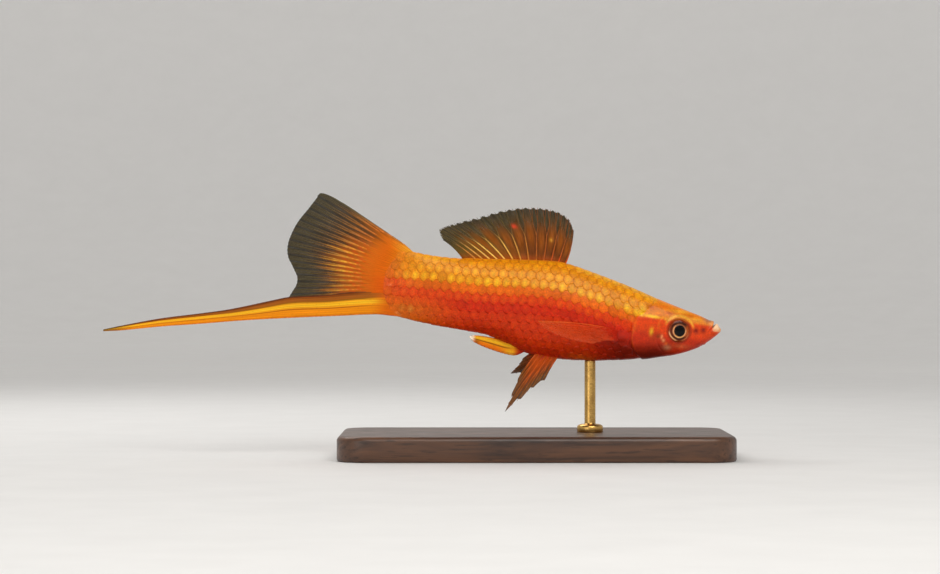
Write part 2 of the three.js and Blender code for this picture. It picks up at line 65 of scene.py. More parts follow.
def smooth_line(points):
    """A smooth function through a few [place, value] points."""
    xs, ys = np.array(points, float).T
    rises = np.concatenate([[0], np.arange(len(xs) - 1)])
    after = np.append(np.arange(1, len(xs)), len(xs) - 1)
    slopes = (ys[after] - ys[rises]) / (xs[after] - xs[rises])

    def line(x):
        x = np.clip(np.asarray(x, float), xs[0], xs[-1])
        i = np.clip(np.searchsorted(xs, x) - 1, 0, len(xs) - 2)
        span = xs[i + 1] - xs[i]
        t = (x - xs[i]) / span
        rise = (1 - t) ** 2 * t * span * slopes[i]
        fall = t**2 * (t - 1) * span * slopes[i + 1]
        return ys[i] + (ys[i + 1] - ys[i]) * t**2 * (3 - 2 * t) + rise + fall

    return line


def curve_through(points, fine=400):
    """A smooth curve through points, followed by the share of its length."""
    points = np.array(points, float)
    chord = np.concatenate([[0], np.cumsum(np.linalg.norm(np.diff(points, axis=0), axis=1))])
    lines = [smooth_line(np.stack([chord, column], 1)) for column in points.T]
    places = np.linspace(0, chord[-1], fine)
    path = np.stack([line(places) for line in lines], 1)
    length = np.concatenate([[0], np.cumsum(np.linalg.norm(np.diff(path, axis=0), axis=1))])
    length /= length[-1]
    return lambda share: np.stack([np.interp(share, length, column) for column in path.T], -1)


# The body's outlines from the side, its half width, its widest level and how boxy its sections are.
back_line = smooth_line([
    [0, 0.2], [0.35, 0.6], [0.9, 0.9], [1.6, 1.25], [4, 2.05], [8.3, 3.12], [13, 4.3], [18.5, 5.85],
    [25, 7.42], [31.5, 8.75], [35, 8.85], [44, 7.95], [50, 7.25], [57, 6.7], [62, 6.85], [66, 7.6],
    [69, 9.3],
])
belly_line = smooth_line([
    [0, -0.6], [0.35, -1.05], [0.9, -1.65], [1.6, -2.35], [4, -4.3], [8.3, -6.3], [13, -7.55],
    [18.5, -8.75], [25, -9.8], [31.5, -10.35], [36.5, -10.2], [39, -9.7], [41.5, -8.75],
    [46, -7.65], [51, -7.3], [59, -7.0], [64, -6.45], [69, -6.3],
])
half_width = smooth_line([
    [0, 0.7], [0.35, 1.15], [0.9, 1.5], [1.6, 1.75], [4, 2.45], [8.3, 3.45], [13, 4.25], [18.5, 4.8],
    [25, 5.1], [31.5, 5.0], [38, 4.45], [44, 3.7], [50, 2.95], [58, 2.1], [64, 1.45], [69, 0.8],
])
widest_level = smooth_line([
    [0, -0.1], [1.6, -0.45], [8.3, -1.5], [18.5, -1.7], [31.5, -1.2], [46, 0.1], [69, 0.4],
])
squareness = smooth_line([[0, 2.4], [8, 2.5], [20, 2.1], [35, 1.95], [69, 1.9]])

# Lines on the flank, as s at each level z, and the row of bright scales, as z at each s.
gill_edge = smooth_line([
    [-9.6, 13.6], [-8.1, 14.6], [-6.9, 16.2], [-5.0, 17.4], [-2.2, 17.6], [0.1, 17.1], [1.6, 15.3],
    [3.9, 13.4], [6.2, 12.6],
])
cheek_edge = smooth_line([[-7.0, 9.2], [-5.6, 11.4], [-3.6, 12.6], [-1.2, 12.9], [0.8, 12.3]])
gape_line = smooth_line([[-5, 3.75], [-2.6, 3.1], [-0.7, 2.15], [0.2, 1.6], [1.1, 1.2], [2.2, 0.8]])
fin_root_edge = smooth_line([
    [-9, 63.9], [-6.5, 65.0], [-4.3, 66.5], [-1.5, 67.4], [1.5, 67.4], [4.4, 66.7], [7.4, 65.2],
    [10.5, 63.6],
])
bright_row = smooth_line([
    [10, 0.6], [13, 0.65], [16.2, 0.95], [20, 2.0], [24.5, 2.9], [28, 3.5], [31, 4.0], [35, 4.05],
    [40, 3.8], [45, 3.3], [50, 2.9], [55, 2.75], [60, 2.5], [65, 2.1], [70, 1.6],
])

EYE_S, EYE_Z, EYE_RADIUS = 8.33, -1.39, 2.24
NOSTRILS = [(4.89, -1.0, 0.3), (3.44, -0.56, 0.26)]
CORNER_Z = -0.7
THIN_END = 0.11


def flesh_width(s, z):
    """Half the body's thickness, which runs out where the tail fin's rays come through."""
    return half_width(s) + (THIN_END - half_width(s)) * smoothstep(-6.5, 2.4, s - fin_root_edge(z))


def body_point(s, angle):
    """A point of the body: angle 0 is the left flank and a quarter turn is the back."""
    level = widest_level(s)
    power = 2 / squareness(s)
    c, d = np.cos(angle), np.sin(angle)
    reach = np.where(d > 0, back_line(s) - level, level - belly_line(s))
    z = level + np.sign(d) * np.abs(d) ** power * reach
    y = np.sign(c) * np.abs(c) ** power * flesh_width(s, z)
    return np.stack(np.broadcast_arrays(s, y, z), -1)


def flank_at(s, z):
    level = widest_level(s)
    reach = np.where(z > level, back_line(s) - level, level - belly_line(s))
    n = squareness(s)
    return half_width(s) * np.clip(1 - np.abs((z - level) / reach) ** n, 0, None) ** (1 / n)


def srgb(red, green, blue):
    """A colour given from 0 to 255, as linear light."""
    share = np.array([red, green, blue]) / 255
    return np.where(share <= 0.04045, share / 12.92, ((share + 0.055) / 1.055) ** 2.4)


def paint(colour, other, mask):
    """Lays a colour, the same everywhere or one for each point, over others where the mask is 1."""
    mask = np.clip(mask, 0, 1)[..., None]
    return colour * (1 - mask) + other * mask


def layered(colour, *layers):
    """Lays colours over one another, each given with its mask."""
    for other, mask in layers:
        colour = paint(colour, other, mask)
    return colour


def shaded(shape, base, *layers):
    """A colour for every point, laid on in layers of a colour and its mask."""
    return layered(np.broadcast_to(base, shape + (3,)), *layers)


def patch(s, z, centre_s, centre_z, reach_s, reach_z):
    return np.exp(-(((s - centre_s) / reach_s) ** 2) - ((z - centre_z) / reach_z) ** 2)


# Markings, the same on skin and scales, with painted shade and painted highlights among them.
GOLD = srgb(230, 136, 12)
PALE_GOLD = srgb(240, 176, 52)
BRIGHT_YELLOW = srgb(252, 206, 34)
AMBER = srgb(224, 98, 8)
ORANGE_RED = srgb(222, 62, 8)
BRICK = srgb(206, 36, 5)
BELLY_RED = srgb(188, 36, 6)
# Deep maroon: the fish's red darkened by painted shade, for low on the body and under the head.
SHADED_MAROON = srgb(98, 17, 7)
TAIL_ORANGE = srgb(216, 94, 6)
RUSTY = srgb(186, 78, 8)
BROWN = srgb(128, 54, 12)
CREAM = srgb(253, 208, 164)
PEACH = srgb(240, 158, 96)
JAW_GREY = srgb(170, 116, 90)
DARK_SPOT = srgb(116, 12, 5)
OLIVE_PINK = srgb(196, 128, 88)
TAIL_OCHRE = srgb(208, 100, 8)
PALE_KEEL = srgb(222, 160, 96)
CHEEK_ORANGE = srgb(222, 66, 8)
CHEEK_RED = srgb(204, 46, 6)
CROWN_GOLD = srgb(232, 132, 22)
SOCKET_BROWN = srgb(120, 34, 10)
# Painted shade for the slit of the mouth.
MOUTH_SHADE = srgb(42, 10, 5)

# Small marks of the head: place s and z, reach along and up, colour and strength.
HEAD_MARKS = [
    (14.3, 2.5, 1.1, 0.6, RUSTY, 0.7),
    (10.7, 1.8, 1.0, 0.32, RUSTY, 0.85),
    (12.7, 1.1, 0.7, 0.3, RUSTY, 0.55),
    (12.0, 2.9, 1.4, 0.35, AMBER, 0.6),
    (6.2, 1.85, 0.9, 0.22, RUSTY, 0.6),
    (8.4, 2.45, 1.5, 0.3, PALE_GOLD, 0.7),
    (5.1, 1.3, 1.3, 0.32, PALE_GOLD, 0.55),
    (16.25, 0.95, 0.42, 0.46, BRIGHT_YELLOW, 1.0),
    (16.1, 1.8, 0.5, 0.7, BRIGHT_YELLOW, 0.6),
    (13.7, 0.68, 1.1, 0.27, BRIGHT_YELLOW, 0.95),
    (15.0, 0.72, 0.8, 0.25, BRIGHT_YELLOW, 0.5),
    (11.25, 0.57, 0.28, 0.3, PALE_GOLD, 0.8),
    (12.5, -0.8, 0.3, 1.0, AMBER, 0.65),
    (13.85, -2.25, 0.36, 0.7, BRIGHT_YELLOW, 0.75),
    (13.4, -3.4, 0.7, 1.0, BROWN, 0.35),
    (12.3, -3.0, 0.5, 0.55, BROWN, 0.85),
    (11.6, -3.05, 0.24, 0.42, PEACH, 0.85),
    (11.15, -3.7, 0.3, 0.34, PEACH, 0.85),
    (10.5, -4.25, 0.3, 0.3, AMBER, 0.7),
    (10.2, -5.0, 0.75, 0.5, OLIVE_PINK, 0.75),
    (7.4, -4.4, 1.5, 0.5, PEACH, 0.22),
    (4.92, -0.95, 0.6, 0.52, DARK_SPOT, 0.9),
    (3.48, -0.62, 0.55, 0.55, DARK_SPOT, 0.85),
    (2.5, 1.5, 1.2, 0.6, JAW_GREY, 0.95),
    (2.0, 0.95, 0.5, 0.4, PEACH, 0.85),
    (2.6, -3.45, 0.17, 0.2, CREAM, 0.8),
]


def markings_and_painted_light(s, z):
    """The colour of the body at each point, as linear light, with painted shade low down and painted
    highlights on the back and belly.
    """
    above = z - bright_row(s)
    # Painted highlight along the top of the back, where the light falls on it.
    crest_highlight = smoothstep(1.5, 0.1, back_line(s) - z)
    low = smoothstep(3.2, 1.0, z - belly_line(s))
    tail = smoothstep(50, 66, s) * smoothstep(-4.2, -6.2, above)
    edge = smoothstep(0.35, 0.1, z - belly_line(s)) * smoothstep(57, 60, s) * smoothstep(66, 63, s)
    colour = shaded(
        s.shape, GOLD,
        (PALE_GOLD, 0.6 * crest_highlight * (smoothstep(32, 28, s) + smoothstep(52, 58, s))),
        (AMBER, smoothstep(-0.5, -1.3, above)),
        (ORANGE_RED, smoothstep(-1.7, -2.9, above)),
        (BRICK, smoothstep(-3.0, -4.4, above) * smoothstep(62, 50, s)),
        (ORANGE_RED, 0.5 * smoothstep(-5.8, -7.2, above) * smoothstep(22, 28, s)),
        (BELLY_RED, 0.8 * low * smoothstep(56, 46, s)),
        (TAIL_OCHRE, 0.9 * tail),
        (TAIL_ORANGE, 0.9 * smoothstep(62, 69, s)),
        (ORANGE_RED, 0.85 * patch(s, z, 65.4, 0.2, 2.4, 1.5)),
        (PEACH, patch(s, z, 66.55, -0.3, 0.28, 0.26)),
        (PALE_KEEL, 0.5 * edge),
        # Painted highlight low on the belly.
        (AMBER, 0.55 * patch(s, z, 26.5, -9.6, 2.6, 0.9)),
        # Painted shade low on the flank behind the gill cover, in deep maroon.
        (SHADED_MAROON, 0.85 * patch(s, z, 18.6, -6.8, 4.6, 2.4)),
    )
    return head_markings_and_shade(colour, s, z)


def head_markings_and_shade(colour, s, z):
    """Adds what is drawn on the head ahead of the gill cover's edge, with painted shade at the throat and in
    the mouth.
    """
    # Under the head the red deepens to maroon towards the belly: partly the throat's own colour, partly
    # painted shade.
    throat = smoothstep(4.4, 1.0, z - belly_line(s)) * smoothstep(7, 12, s)
    base = shaded(
        s.shape, CHEEK_ORANGE,
        (CHEEK_RED, smoothstep(-1.6, -3.4, z)),
        (CROWN_GOLD, smoothstep(0.1, 0.8, z)),
        (SHADED_MAROON, 0.9 * throat),
    )
    behind = s - gill_edge(z)
    colour = paint(colour, base, smoothstep(0.3, -0.3, behind))
    for mark_s, mark_z, reach_s, reach_z, tone, strength in HEAD_MARKS:
        colour = paint(colour, tone, strength * patch(s, z, mark_s, mark_z, reach_s, reach_z))
    ring = np.hypot(s - EYE_S, z - EYE_Z)
    gape = s - gape_line(z)
    lip = smoothstep(1.8, 1.25, s) * smoothstep(-0.75, -0.15, z) * (gape < 0.1)
    rim = hump(behind + 0.14, 0.1) * smoothstep(-0.6, -1.8, z) * smoothstep(-6.8, -4.5, z)
    glow = hump(behind + 0.3, 0.3) * smoothstep(0.2, -0.8, z) * smoothstep(-3.6, -2.2, z)
    return layered(
        colour,
        (PALE_GOLD, 0.85 * hump(ring - 2.96, 0.26) * smoothstep(0.4, 2.0, z - EYE_Z)),
        (SOCKET_BROWN, 0.6 * hump(ring - 2.4, 0.16)),
        (CREAM, lip),
        (PEACH, 0.75 * lip * smoothstep(0.55, 0.05, s)),
        (PEACH, 0.6 * lip * smoothstep(0.15, -0.3, z)),
        # Painted shade along the mouth's slit.
        (MOUTH_SHADE, smoothstep(0.0, 0.6, z) * hump(gape, 0.13 + 0.07 * smoothstep(0.3, 1.1, z))),
        (AMBER, 0.4 * rim),
        (AMBER, 0.55 * glow),
    )


def mesh_object(name, points, faces, material, tints=None, extra=None, uvs=None, fish=True):
    """A smooth-shaded mesh object, with its colours and other values stored on its points."""
    mesh = bpy.data.meshes.new(name)
    points = to_world(points) if fish else np.asarray(points, float) * MM
    mesh.from_pydata(points.tolist(), [], [list(map(int, face)) for face in faces])
    if tints is not None:
        rgba = np.ones((len(points), 4))
        rgba[:, : tints.shape[1]] = tints
        mesh.attributes.new("tint", "FLOAT_COLOR", "POINT").data.foreach_set("color", rgba.ravel())
    for key, values in (extra or {}).items():
        layer = mesh.attributes.new(key, "FLOAT_VECTOR", "POINT")
        layer.data.foreach_set("vector", np.ascontiguousarray(values, float).ravel())
    if uvs is not None:
        mesh.uv_layers.new(name="OFBake").data.foreach_set("uv", np.asarray(uvs, float).ravel())
    mesh.validate()
    mesh.polygons.foreach_set("use_smooth", [True] * len(mesh.polygons))
    obj = bpy.data.objects.new(name, mesh)
    bpy.context.scene.collection.objects.link(obj)
    obj.data.materials.append(material)
    return obj


def keep(obj, slot, *nodes):
    """The piece rides on the part's one body and stands for the nodes named."""
    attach(obj, "root")
    if nodes:
        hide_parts(*nodes)
    return obj


# Materials. Noise stays mostly within NOISE_SPAN.
NOISE_SPAN = (0.3, 0.7)
FLESH_GLOW = (1.0, 0.3, 0.1)
GROWTH_RINGS = 46.0


def new_material(name):
    material = bpy.data.materials.new(name)
    material.use_nodes = True
    tree = material.node_tree
    return material, tree, tree.nodes["Principled BSDF"]


def fill_inputs(tree, node, inputs):
    """Sets a node's inputs, each to a constant or to another node's output."""
    for key, value in inputs.items():
        if isinstance(value, bpy.types.NodeSocket):
            tree.links.new(value, node.inputs[key])
        else:
            node.inputs[key].default_value = value


def add_node(tree, kind, inputs=None, **settings):
    node = tree.nodes.new(kind)
    for key, value in settings.items():
        setattr(node, key, value)
    fill_inputs(tree, node, inputs or {})
    return node


def object_place(tree):
    return add_node(tree, "ShaderNodeTexCoord").outputs["Object"]


def noise(tree, scale, detail=4.0, rough=0.55, vector=None, distortion=0.0):
    return add_node(tree, "ShaderNodeTexNoise", {
        "Scale": scale, "Detail": detail, "Roughness": rough, "Distortion": distortion,
        "Vector": vector or object_place(tree),
    }).outputs["Fac"]


def spread_to(tree, value, low, high, new_low, new_high):
    return add_node(tree, "ShaderNodeMapRange", {
        "Value": value, "From Min": low, "From Max": high, "To Min": new_low, "To Max": new_high,
    }).outputs["Result"]


def wandering(tree, low, high, scale, detail):
    """A value that wanders between two others by noise."""
    return spread_to(tree, noise(tree, scale, detail), *NOISE_SPAN, low, high)


def maths(tree, operation, first, second):
    return add_node(tree, "ShaderNodeMath", {0: first, 1: second}, operation=operation).outputs[0]


def scaled(tree, colour, factor):
    """A colour made lighter or darker by a factor."""
    return add_node(tree, "ShaderNodeVectorMath", {0: colour, "Scale": factor}, operation="SCALE").outputs[0]


def mottled(tree, colour, *grains):
    """A colour mottled by noises, each given by its darkest and lightest factor, scale and detail."""
    for grain in grains:
        colour = scaled(tree, colour, wandering(tree, *grain))
    return colour


def mixed(tree, factor, first, second):
    inputs = {0: factor, 6: first, 7: second}
    for index in (6, 7):
        if not isinstance(inputs[index], bpy.types.NodeSocket):
            inputs[index] = (*inputs[index], 1)
    return add_node(tree, "ShaderNodeMix", inputs, data_type="RGBA").outputs[2]


def flecked(tree, colour, fleck, most, low, high, value):
    """Lays another colour over the first where a value rises from low to high."""
    return mixed(tree, spread_to(tree, value, low, high, 0.0, most), colour, fleck)


def bumped(tree, shader, height, strength, distance):
    bump = add_node(tree, "ShaderNodeBump", {"Height": height, "Strength": strength, "Distance": distance})
    tree.links.new(bump.outputs["Normal"], shader.inputs["Normal"])


def tint_of(tree):
    return add_node(tree, "ShaderNodeAttribute", attribute_name="tint")


def skin_material():
    """Wet skin: fine mottling, small dark and gold grains and a thin gloss. The lip stays plain."""
    material, tree, shader = new_material("wet_skin")
    tint = tint_of(tree)
    colour = mottled(tree, tint.outputs["Color"], (0.82, 1.12, 900, 5), (0.84, 1.14, 3000, 3))
    colour = flecked(tree, colour, AMBER, 0.22, 0.56, 0.78, noise(tree, 6500, 2))
    colour = flecked(tree, colour, BROWN, 0.3, 0.58, 0.78, noise(tree, 3600, 2, distortion=0.4))
    bumped(tree, shader, noise(tree, 4200, 4), 0.35, 0.00004)
    fill_inputs(tree, shader, {
        "Base Color": mixed(tree, tint.outputs["Alpha"], tint.outputs["Color"], colour),
        "Roughness": wandering(tree, 0.34, 0.5, 1800, 3),
        "Specular IOR Level": 0.16, "Coat Weight": 0.14, "Coat Roughness": 0.16,
        "Subsurface Weight": 0.08, "Subsurface Radius": FLESH_GLOW, "Subsurface Scale": 0.0006,
    })
    return material


def scale_material():
    """Scales: thin rings of growth, fine mottling and a faint sheen."""
    material, tree, shader = new_material("fish_scales")
    tint = tint_of(tree).outputs["Color"]
    place = add_node(tree, "ShaderNodeAttribute", attribute_name="scale_place").outputs["Vector"]
    reach = add_node(tree, "ShaderNodeSeparateXYZ", {0: place}).outputs["X"]
    colour = mottled(tree, tint, (0.84, 1.12, 1300, 4), (0.8, 1.18, 3400, 3))
    rings = maths(tree, "SINE", maths(tree, "MULTIPLY", reach, GROWTH_RINGS), 0.0)
    height = maths(tree, "ADD", maths(tree, "MULTIPLY", rings, 0.16), noise(tree, 3000, 3))
    bumped(tree, shader, height, 0.4, 0.00003)
    fill_inputs(tree, shader, {
        "Base Color": flecked(tree, colour, AMBER, 0.2, 0.56, 0.78, noise(tree, 7000, 2)),
        "Roughness": wandering(tree, 0.3, 0.44, 2400, 3),
        "Specular IOR Level": 0.12, "Coat Weight": 0.08, "Coat Roughness": 0.2,
        "Subsurface Weight": 0.05, "Subsurface Radius": FLESH_GLOW, "Subsurface Scale": 0.0005,
    })
    return material


def membrane_material():
    """Fin membrane: smoky, thin enough to see through, with fine streaks along the rays."""
    material, tree, shader = new_material("fin_membrane")
    tint = tint_of(tree)
    place = add_node(tree, "ShaderNodeAttribute", attribute_name="fin_place").outputs["Vector"]
    stretched = add_node(tree, "ShaderNodeVectorMath", {0: place, 1: (3.0, 5.0, 1.0)}, operation="MULTIPLY")
    streaks = noise(tree, 1.6, 4, vector=stretched.outputs[0])
    colour = scaled(tree, tint.outputs["Color"], spread_to(tree, streaks, *NOISE_SPAN, 0.66, 1.36))
    veil = spread_to(tree, streaks, *NOISE_SPAN, 1.08, 0.86)
    bumped(tree, shader, streaks, 0.3, 0.00005)
    fill_inputs(tree, shader, {
        "Base Color": flecked(tree, colour, BROWN, 0.3, 0.58, 0.8, noise(tree, 2600, 3)),
        "Alpha": maths(tree, "MULTIPLY", tint.outputs["Alpha"], veil),
        "Roughness": 0.5, "Specular IOR Level": 0.08,
    })
    return material


def ray_material():
    """Fin rays: horny, finely mottled and a little glossy."""
    material, tree, shader = new_material("fin_ray")
    bumped(tree, shader, noise(tree, 5000, 3), 0.3, 0.00002)
    fill_inputs(tree, shader, {
        "Base Color": mottled(tree, tint_of(tree).outputs["Color"], (0.75, 1.2, 1700, 3)),
        "Roughness": wandering(tree, 0.28, 0.45, 2600, 2),
        "Specular IOR Level": 0.16, "Coat Weight": 0.1,
    })
    return material


def eye_material():
    """Eye: the painted iris and pupil under a clear wet surface."""
    material, tree, shader = new_material("fish_eye")
    fill_inputs(tree, shader, {
        "Base Color": mottled(tree, tint_of(tree).outputs["Color"], (0.7, 1.3, 4200, 4)),
        "Roughness": wandering(tree, 0.12, 0.22, 3000, 2),
        "Specular IOR Level": 0.1, "Coat Weight": 0.14, "Coat Roughness": 0.06,
    })
    return material


def walnut_material():
    """Dark walnut under satin varnish, with the grain running lengthwise."""
    material, tree, shader = new_material("walnut")
    grain = add_node(tree, "ShaderNodeMapping", {"Vector": object_place(tree), "Scale": (14, 130, 130)})
    figure = noise(tree, 2.2, 6, 0.6, grain.outputs[0], distortion=1.1)
    pores = noise(tree, 14, 3, 0.5, grain.outputs[0])
    ramp = add_node(tree, "ShaderNodeValToRGB", {"Fac": figure})
    stops = ((0.3, srgb(44, 25, 15)), (0.72, srgb(104, 66, 40)))
    for element, (position, colour) in zip(ramp.color_ramp.elements, stops):
        element.position = position
        element.color = (*colour, 1)
    bumped(tree, shader, pores, 0.25, 0.00004)
    fill_inputs(tree, shader, {
        "Base Color": flecked(tree, ramp.outputs["Color"], srgb(30, 16, 9), 0.55, 0.56, 0.66, pores),
        "Roughness": spread_to(tree, pores, *NOISE_SPAN, 0.34, 0.52),
        "Coat Weight": 0.25, "Coat Roughness": 0.25,
    })
    return material


def brass_material():
    """Turned brass with fine lathe marks and slight tarnish."""
    material, tree, shader = new_material("brass")
    marks = add_node(tree, "ShaderNodeMapping", {"Vector": object_place(tree), "Scale": (40, 40, 9000)})
    turned = noise(tree, 1.0, 2, 0.5, marks.outputs[0])
    tarnish = noise(tree, 500, 4)
    bumped(tree, shader, turned, 0.2, 0.00002)
    fill_inputs(tree, shader, {
        "Base Color": flecked(tree, srgb(212, 170, 96), srgb(150, 108, 54), 0.55, 0.4, 0.75, tarnish),
        "Roughness": spread_to(tree, turned, *NOISE_SPAN, 0.2, 0.36),
        "Metallic": 1.0,
    })
    return material


wet_skin = skin_material()
fish_scales = scale_material()
fin_membrane = membrane_material()
fin_ray = ray_material()


# Skin: one closed surface over the head, jaw, trunk and tail.
AROUND = 288
SKIN_END, END_BEND_START, MIDDLE_END = 69.4, 56.0, 67.0
SCALE_BED = 0.09
NOSE_SHARES, NOSE_LENGTH = (0.12, 0.3, 0.5, 0.68, 0.83, 0.94), 0.17


def ring_places():
    places = [0.0]
    while places[-1] < SKIN_END:
        places.append(places[-1] + float(np.interp(places[-1], [0, 1, 18.4, 19.5], [0.06, 0.1, 0.1, 0.34])))
    return np.array(places)


def skin_relief(s, y, z):
    """How far each point of the skin stands out of the plain body."""
    ahead = gill_edge(z) - s
    cover = smoothstep(2.2, -0.2, z) * smoothstep(-9.0, -7.2, z)
    relief = 0.24 * cover * smoothstep(10.5, 14.5, s) * smoothstep(-0.2, 0.2, ahead)
    relief -= 0.06 * cover * hump(ahead + 0.26, 0.16)
    relief -= SCALE_BED * smoothstep(0.0, -0.5, ahead)
    relief -= 0.07 * hump(s - cheek_edge(z), 0.17) * smoothstep(-7.2, -6, z) * smoothstep(1.2, 0.2, z)
    gap = s - gape_line(z)
    mouth = smoothstep(CORNER_Z - 0.3, CORNER_Z + 0.2, z)
    open_mouth = smoothstep(-0.6, 0.9, z)
    relief -= (0.09 + 0.56 * open_mouth) * mouth * hump(gap, 0.12 + 0.08 * smoothstep(0.3, 1.1, z))
    relief += 0.12 * patch(s, z, 0.75, 0.4, 0.4, 0.45) + 0.16 * patch(s, z, 1.85, 1.3, 0.42, 0.45)
    relief += mouth * (0.1 * hump(gap - 0.42, 0.24) + 0.14 * hump(gap + 0.5, 0.3))
    relief -= 0.05 * (1 - mouth) * hump(gap, 0.16) * smoothstep(-4.4, -3.6, z)
    ring = np.hypot(s - EYE_S, z - EYE_Z)
    brow = 1 + 0.5 * smoothstep(-0.5, 2.2, z - EYE_Z)
    relief += 0.07 * brow * hump(ring - 2.55, 0.32)
    relief -= 1.3 * smoothstep(2.21, 2.02, ring)
    for hole_s, hole_z, radius in NOSTRILS:
        hole = np.hypot(s - hole_s, z - hole_z)
        relief += 0.03 * hump(hole - 1.6 * radius, 0.14) - 0.1 * hump(hole, 0.8 * radius)
    relief += 0.16 * patch(s, z, 2.6, -3.4, 0.22, 0.25)
    under = (z < widest_level(s)) * hump(y, 0.32)
    relief -= 0.28 * under * smoothstep(3.5, 6, s) * smoothstep(15, 12.5, s)
    fin_base = (z > widest_level(s)) * hump(y, 0.75)
    relief += 0.16 * fin_base * smoothstep(31, 33.5, s) * smoothstep(54, 51.5, s)
    return relief


def skin_grid():
    rings = ring_places()
    s, angle = np.meshgrid(rings, np.arange(AROUND) * 2 * math.pi / AROUND, indexing="ij")
    bent = s
    for _ in range(4):
        points = body_point(bent, angle)
        bent = s + smoothstep(END_BEND_START, SKIN_END, s) * (fin_root_edge(points[..., 2]) - MIDDLE_END)
    points = body_point(bent, angle)
    along = np.gradient(points, axis=0)
    round_it = np.roll(points, -1, axis=1) - np.roll(points, 1, axis=1)
    normal = np.cross(along, round_it)
    normal /= np.maximum(np.linalg.norm(normal, axis=-1, keepdims=True), 1e-9)
    outward = np.sign((normal * (points - points.mean(1, keepdims=True))).sum(-1, keepdims=True))
    normal = normal * np.where(np.median(outward) < 0, -1, 1)
    relief = skin_relief(points[..., 0], points[..., 1], points[..., 2])
    return points, points + normal * relief[..., None]


def rounded_nose(points):
    """A few rings ahead of the first that shrink to a blunt, rounded tip."""
    first = points[0]
    middle = first.mean(0)
    rings = []
    for share in NOSE_SHARES:
        ring = middle + (first - middle) * share
        ring[:, 0] -= NOSE_LENGTH * math.sqrt(1 - share * share)
        rings.append(ring)
    return np.concatenate([np.array(rings), points])


def closing_seam(start, around):
    """Faces that join the left half of a ring to its mirrored right half."""
    left = [(k + around * 3 // 4) % around for k in range(around // 2 + 1)]
    faces = []
    for a, b in zip(left, left[1:]):
        quad = [a, b, (around // 2 - b) % around, (around // 2 - a) % around]
        faces.append([start + v for v in dict.fromkeys(quad)])
    return faces


def closed_tube_faces(rings, around):
    """Quads of a grid of rings that closes on itself, and a fan of triangles at each end."""
    i, k = np.meshgrid(np.arange(rings - 1), np.arange(around), indexing="ij")
    near, after = i * around + k, i * around + (k + 1) % around
    quads = np.stack([near, after, after + around, near + around], -1)
    k = np.arange(around)
    last = (rings - 1) * around
    hub = rings * around
    nose = np.stack([np.full(around, hub), (k + 1) % around, k], 1)
    end = np.stack([np.full(around, hub + 1), last + k, last + (k + 1) % around], 1)
    return quads.reshape(-1, 4), nose, end


def closed_sheet_faces(rows, cols):
    """Faces of a sheet's top, its bottom and the wall round its edge."""
    count = rows * cols
    i, j = np.meshgrid(np.arange(rows - 1), np.arange(cols - 1), indexing="ij")
    a = (i * cols + j).ravel()
    top = np.stack([a, a + cols, a + cols + 1, a + 1], 1)
    grid = np.arange(count).reshape(rows, cols)
    rim = np.concatenate([grid[0], grid[1:, -1], grid[-1, -2::-1], grid[-2:0:-1, 0]])
    after = np.roll(rim, -1)
    wall = np.stack([rim, after, after + count, rim + count], 1)
    return np.concatenate([top, top[:, ::-1] + count, wall])


def with_hubs(grid):
    """A grid's points, then the middles of its first and its last ring."""
    return np.concatenate([grid.reshape(-1, 3), grid[:1].mean(1), grid[-1:].mean(1)])


def closed_form(name, grid, material, tints=None, mirrored=False, fish=True):
    """A piece made of a grid of rings, closed at both ends by a fan of triangles."""
    faces = [face for part in closed_tube_faces(*grid.shape[:2]) for face in part.tolist()]
    if mirrored:
        faces = [face[::-1] for face in faces]
    return mesh_object(name, with_hubs(grid), faces, material, tints, fish=fish)


def make_skin():
    plain, points = (rounded_nose(grid) for grid in skin_grid())
    rings = len(points)
    tip = points[0].mean(0)
    vertices = np.concatenate([points.reshape(-1, 3), [tip]])
    level = np.concatenate([plain.reshape(-1, 3), [tip]])
    lip = smoothstep(2.2, 1.4, level[:, 0]) * smoothstep(-1.0, -0.4, level[:, 2])
    tints = with_alpha(markings_and_painted_light(level[:, 0], level[:, 2]), 1 - 0.8 * lip)
    quads, nose, _ = closed_tube_faces(rings, AROUND)
    faces = quads.tolist() + nose.tolist() + closing_seam((rings - 1) * AROUND, AROUND)
    u = np.append(np.repeat(np.linspace(0.02, 0.98, rings), AROUND), 0.01)
    turn = np.append(np.tile(np.arange(AROUND) / AROUND, rings), 0.5)
    uvs = []
    for face in faces:
        turns = turn[list(face)]
        if turns.max() - turns.min() > 0.5:
            turns = np.where(turns < 0.5, turns + 1, turns)
        uvs.extend(zip(u[list(face)], 0.02 + 0.96 * turns))
    skin = mesh_object("skin", vertices, faces, wet_skin, tints, uvs=uvs)
    return keep(skin, "skin_orange", "head", "lower_jaw", "torso", "tail")


# Scales: overlapping plates in offset rows beside the bright row, each a little tilted.
ROW_PITCH = 1.74
FRONT_PITCH, PITCH_LOSS = 1.94, 0.0028
FIRST_SCALE = 11.2
SCALE_AHEAD, SCALE_BEHIND, SCALE_HALF = 1.15, 1.22, 1.3
ROWS_BELOW, ROWS_ABOVE, MOST_IN_A_ROW = 9, 9, 40
LAST_PLACE, PLACE_STEP = 71.0, 0.5
GIRTH, GIRTH_STEP = 17.0, 0.1


def girth_table():
    """The angle round the body at each distance above or below the bright row, for each s."""
    places = np.arange(FIRST_SCALE - 4, LAST_PLACE, PLACE_STEP)
    angles = np.linspace(-math.pi / 2, math.pi / 2, 301)
    measures = np.arange(-GIRTH, GIRTH + GIRTH_STEP / 2, GIRTH_STEP)
    table = []
    for s in places:
        points = body_point(np.full_like(angles, s), angles)
        arc = np.concatenate([[0], np.cumsum(np.linalg.norm(np.diff(points, axis=0), axis=1))])
        arc -= np.interp(bright_row(s), points[:, 2], arc)
        over = np.clip(measures - arc[-1], 0, None) - np.clip(arc[0] - measures, 0, None)
        table.append(np.interp(measures, arc, angles) + 0.03 * over)
    return places, np.array(table)


PLACES, TABLE = girth_table()


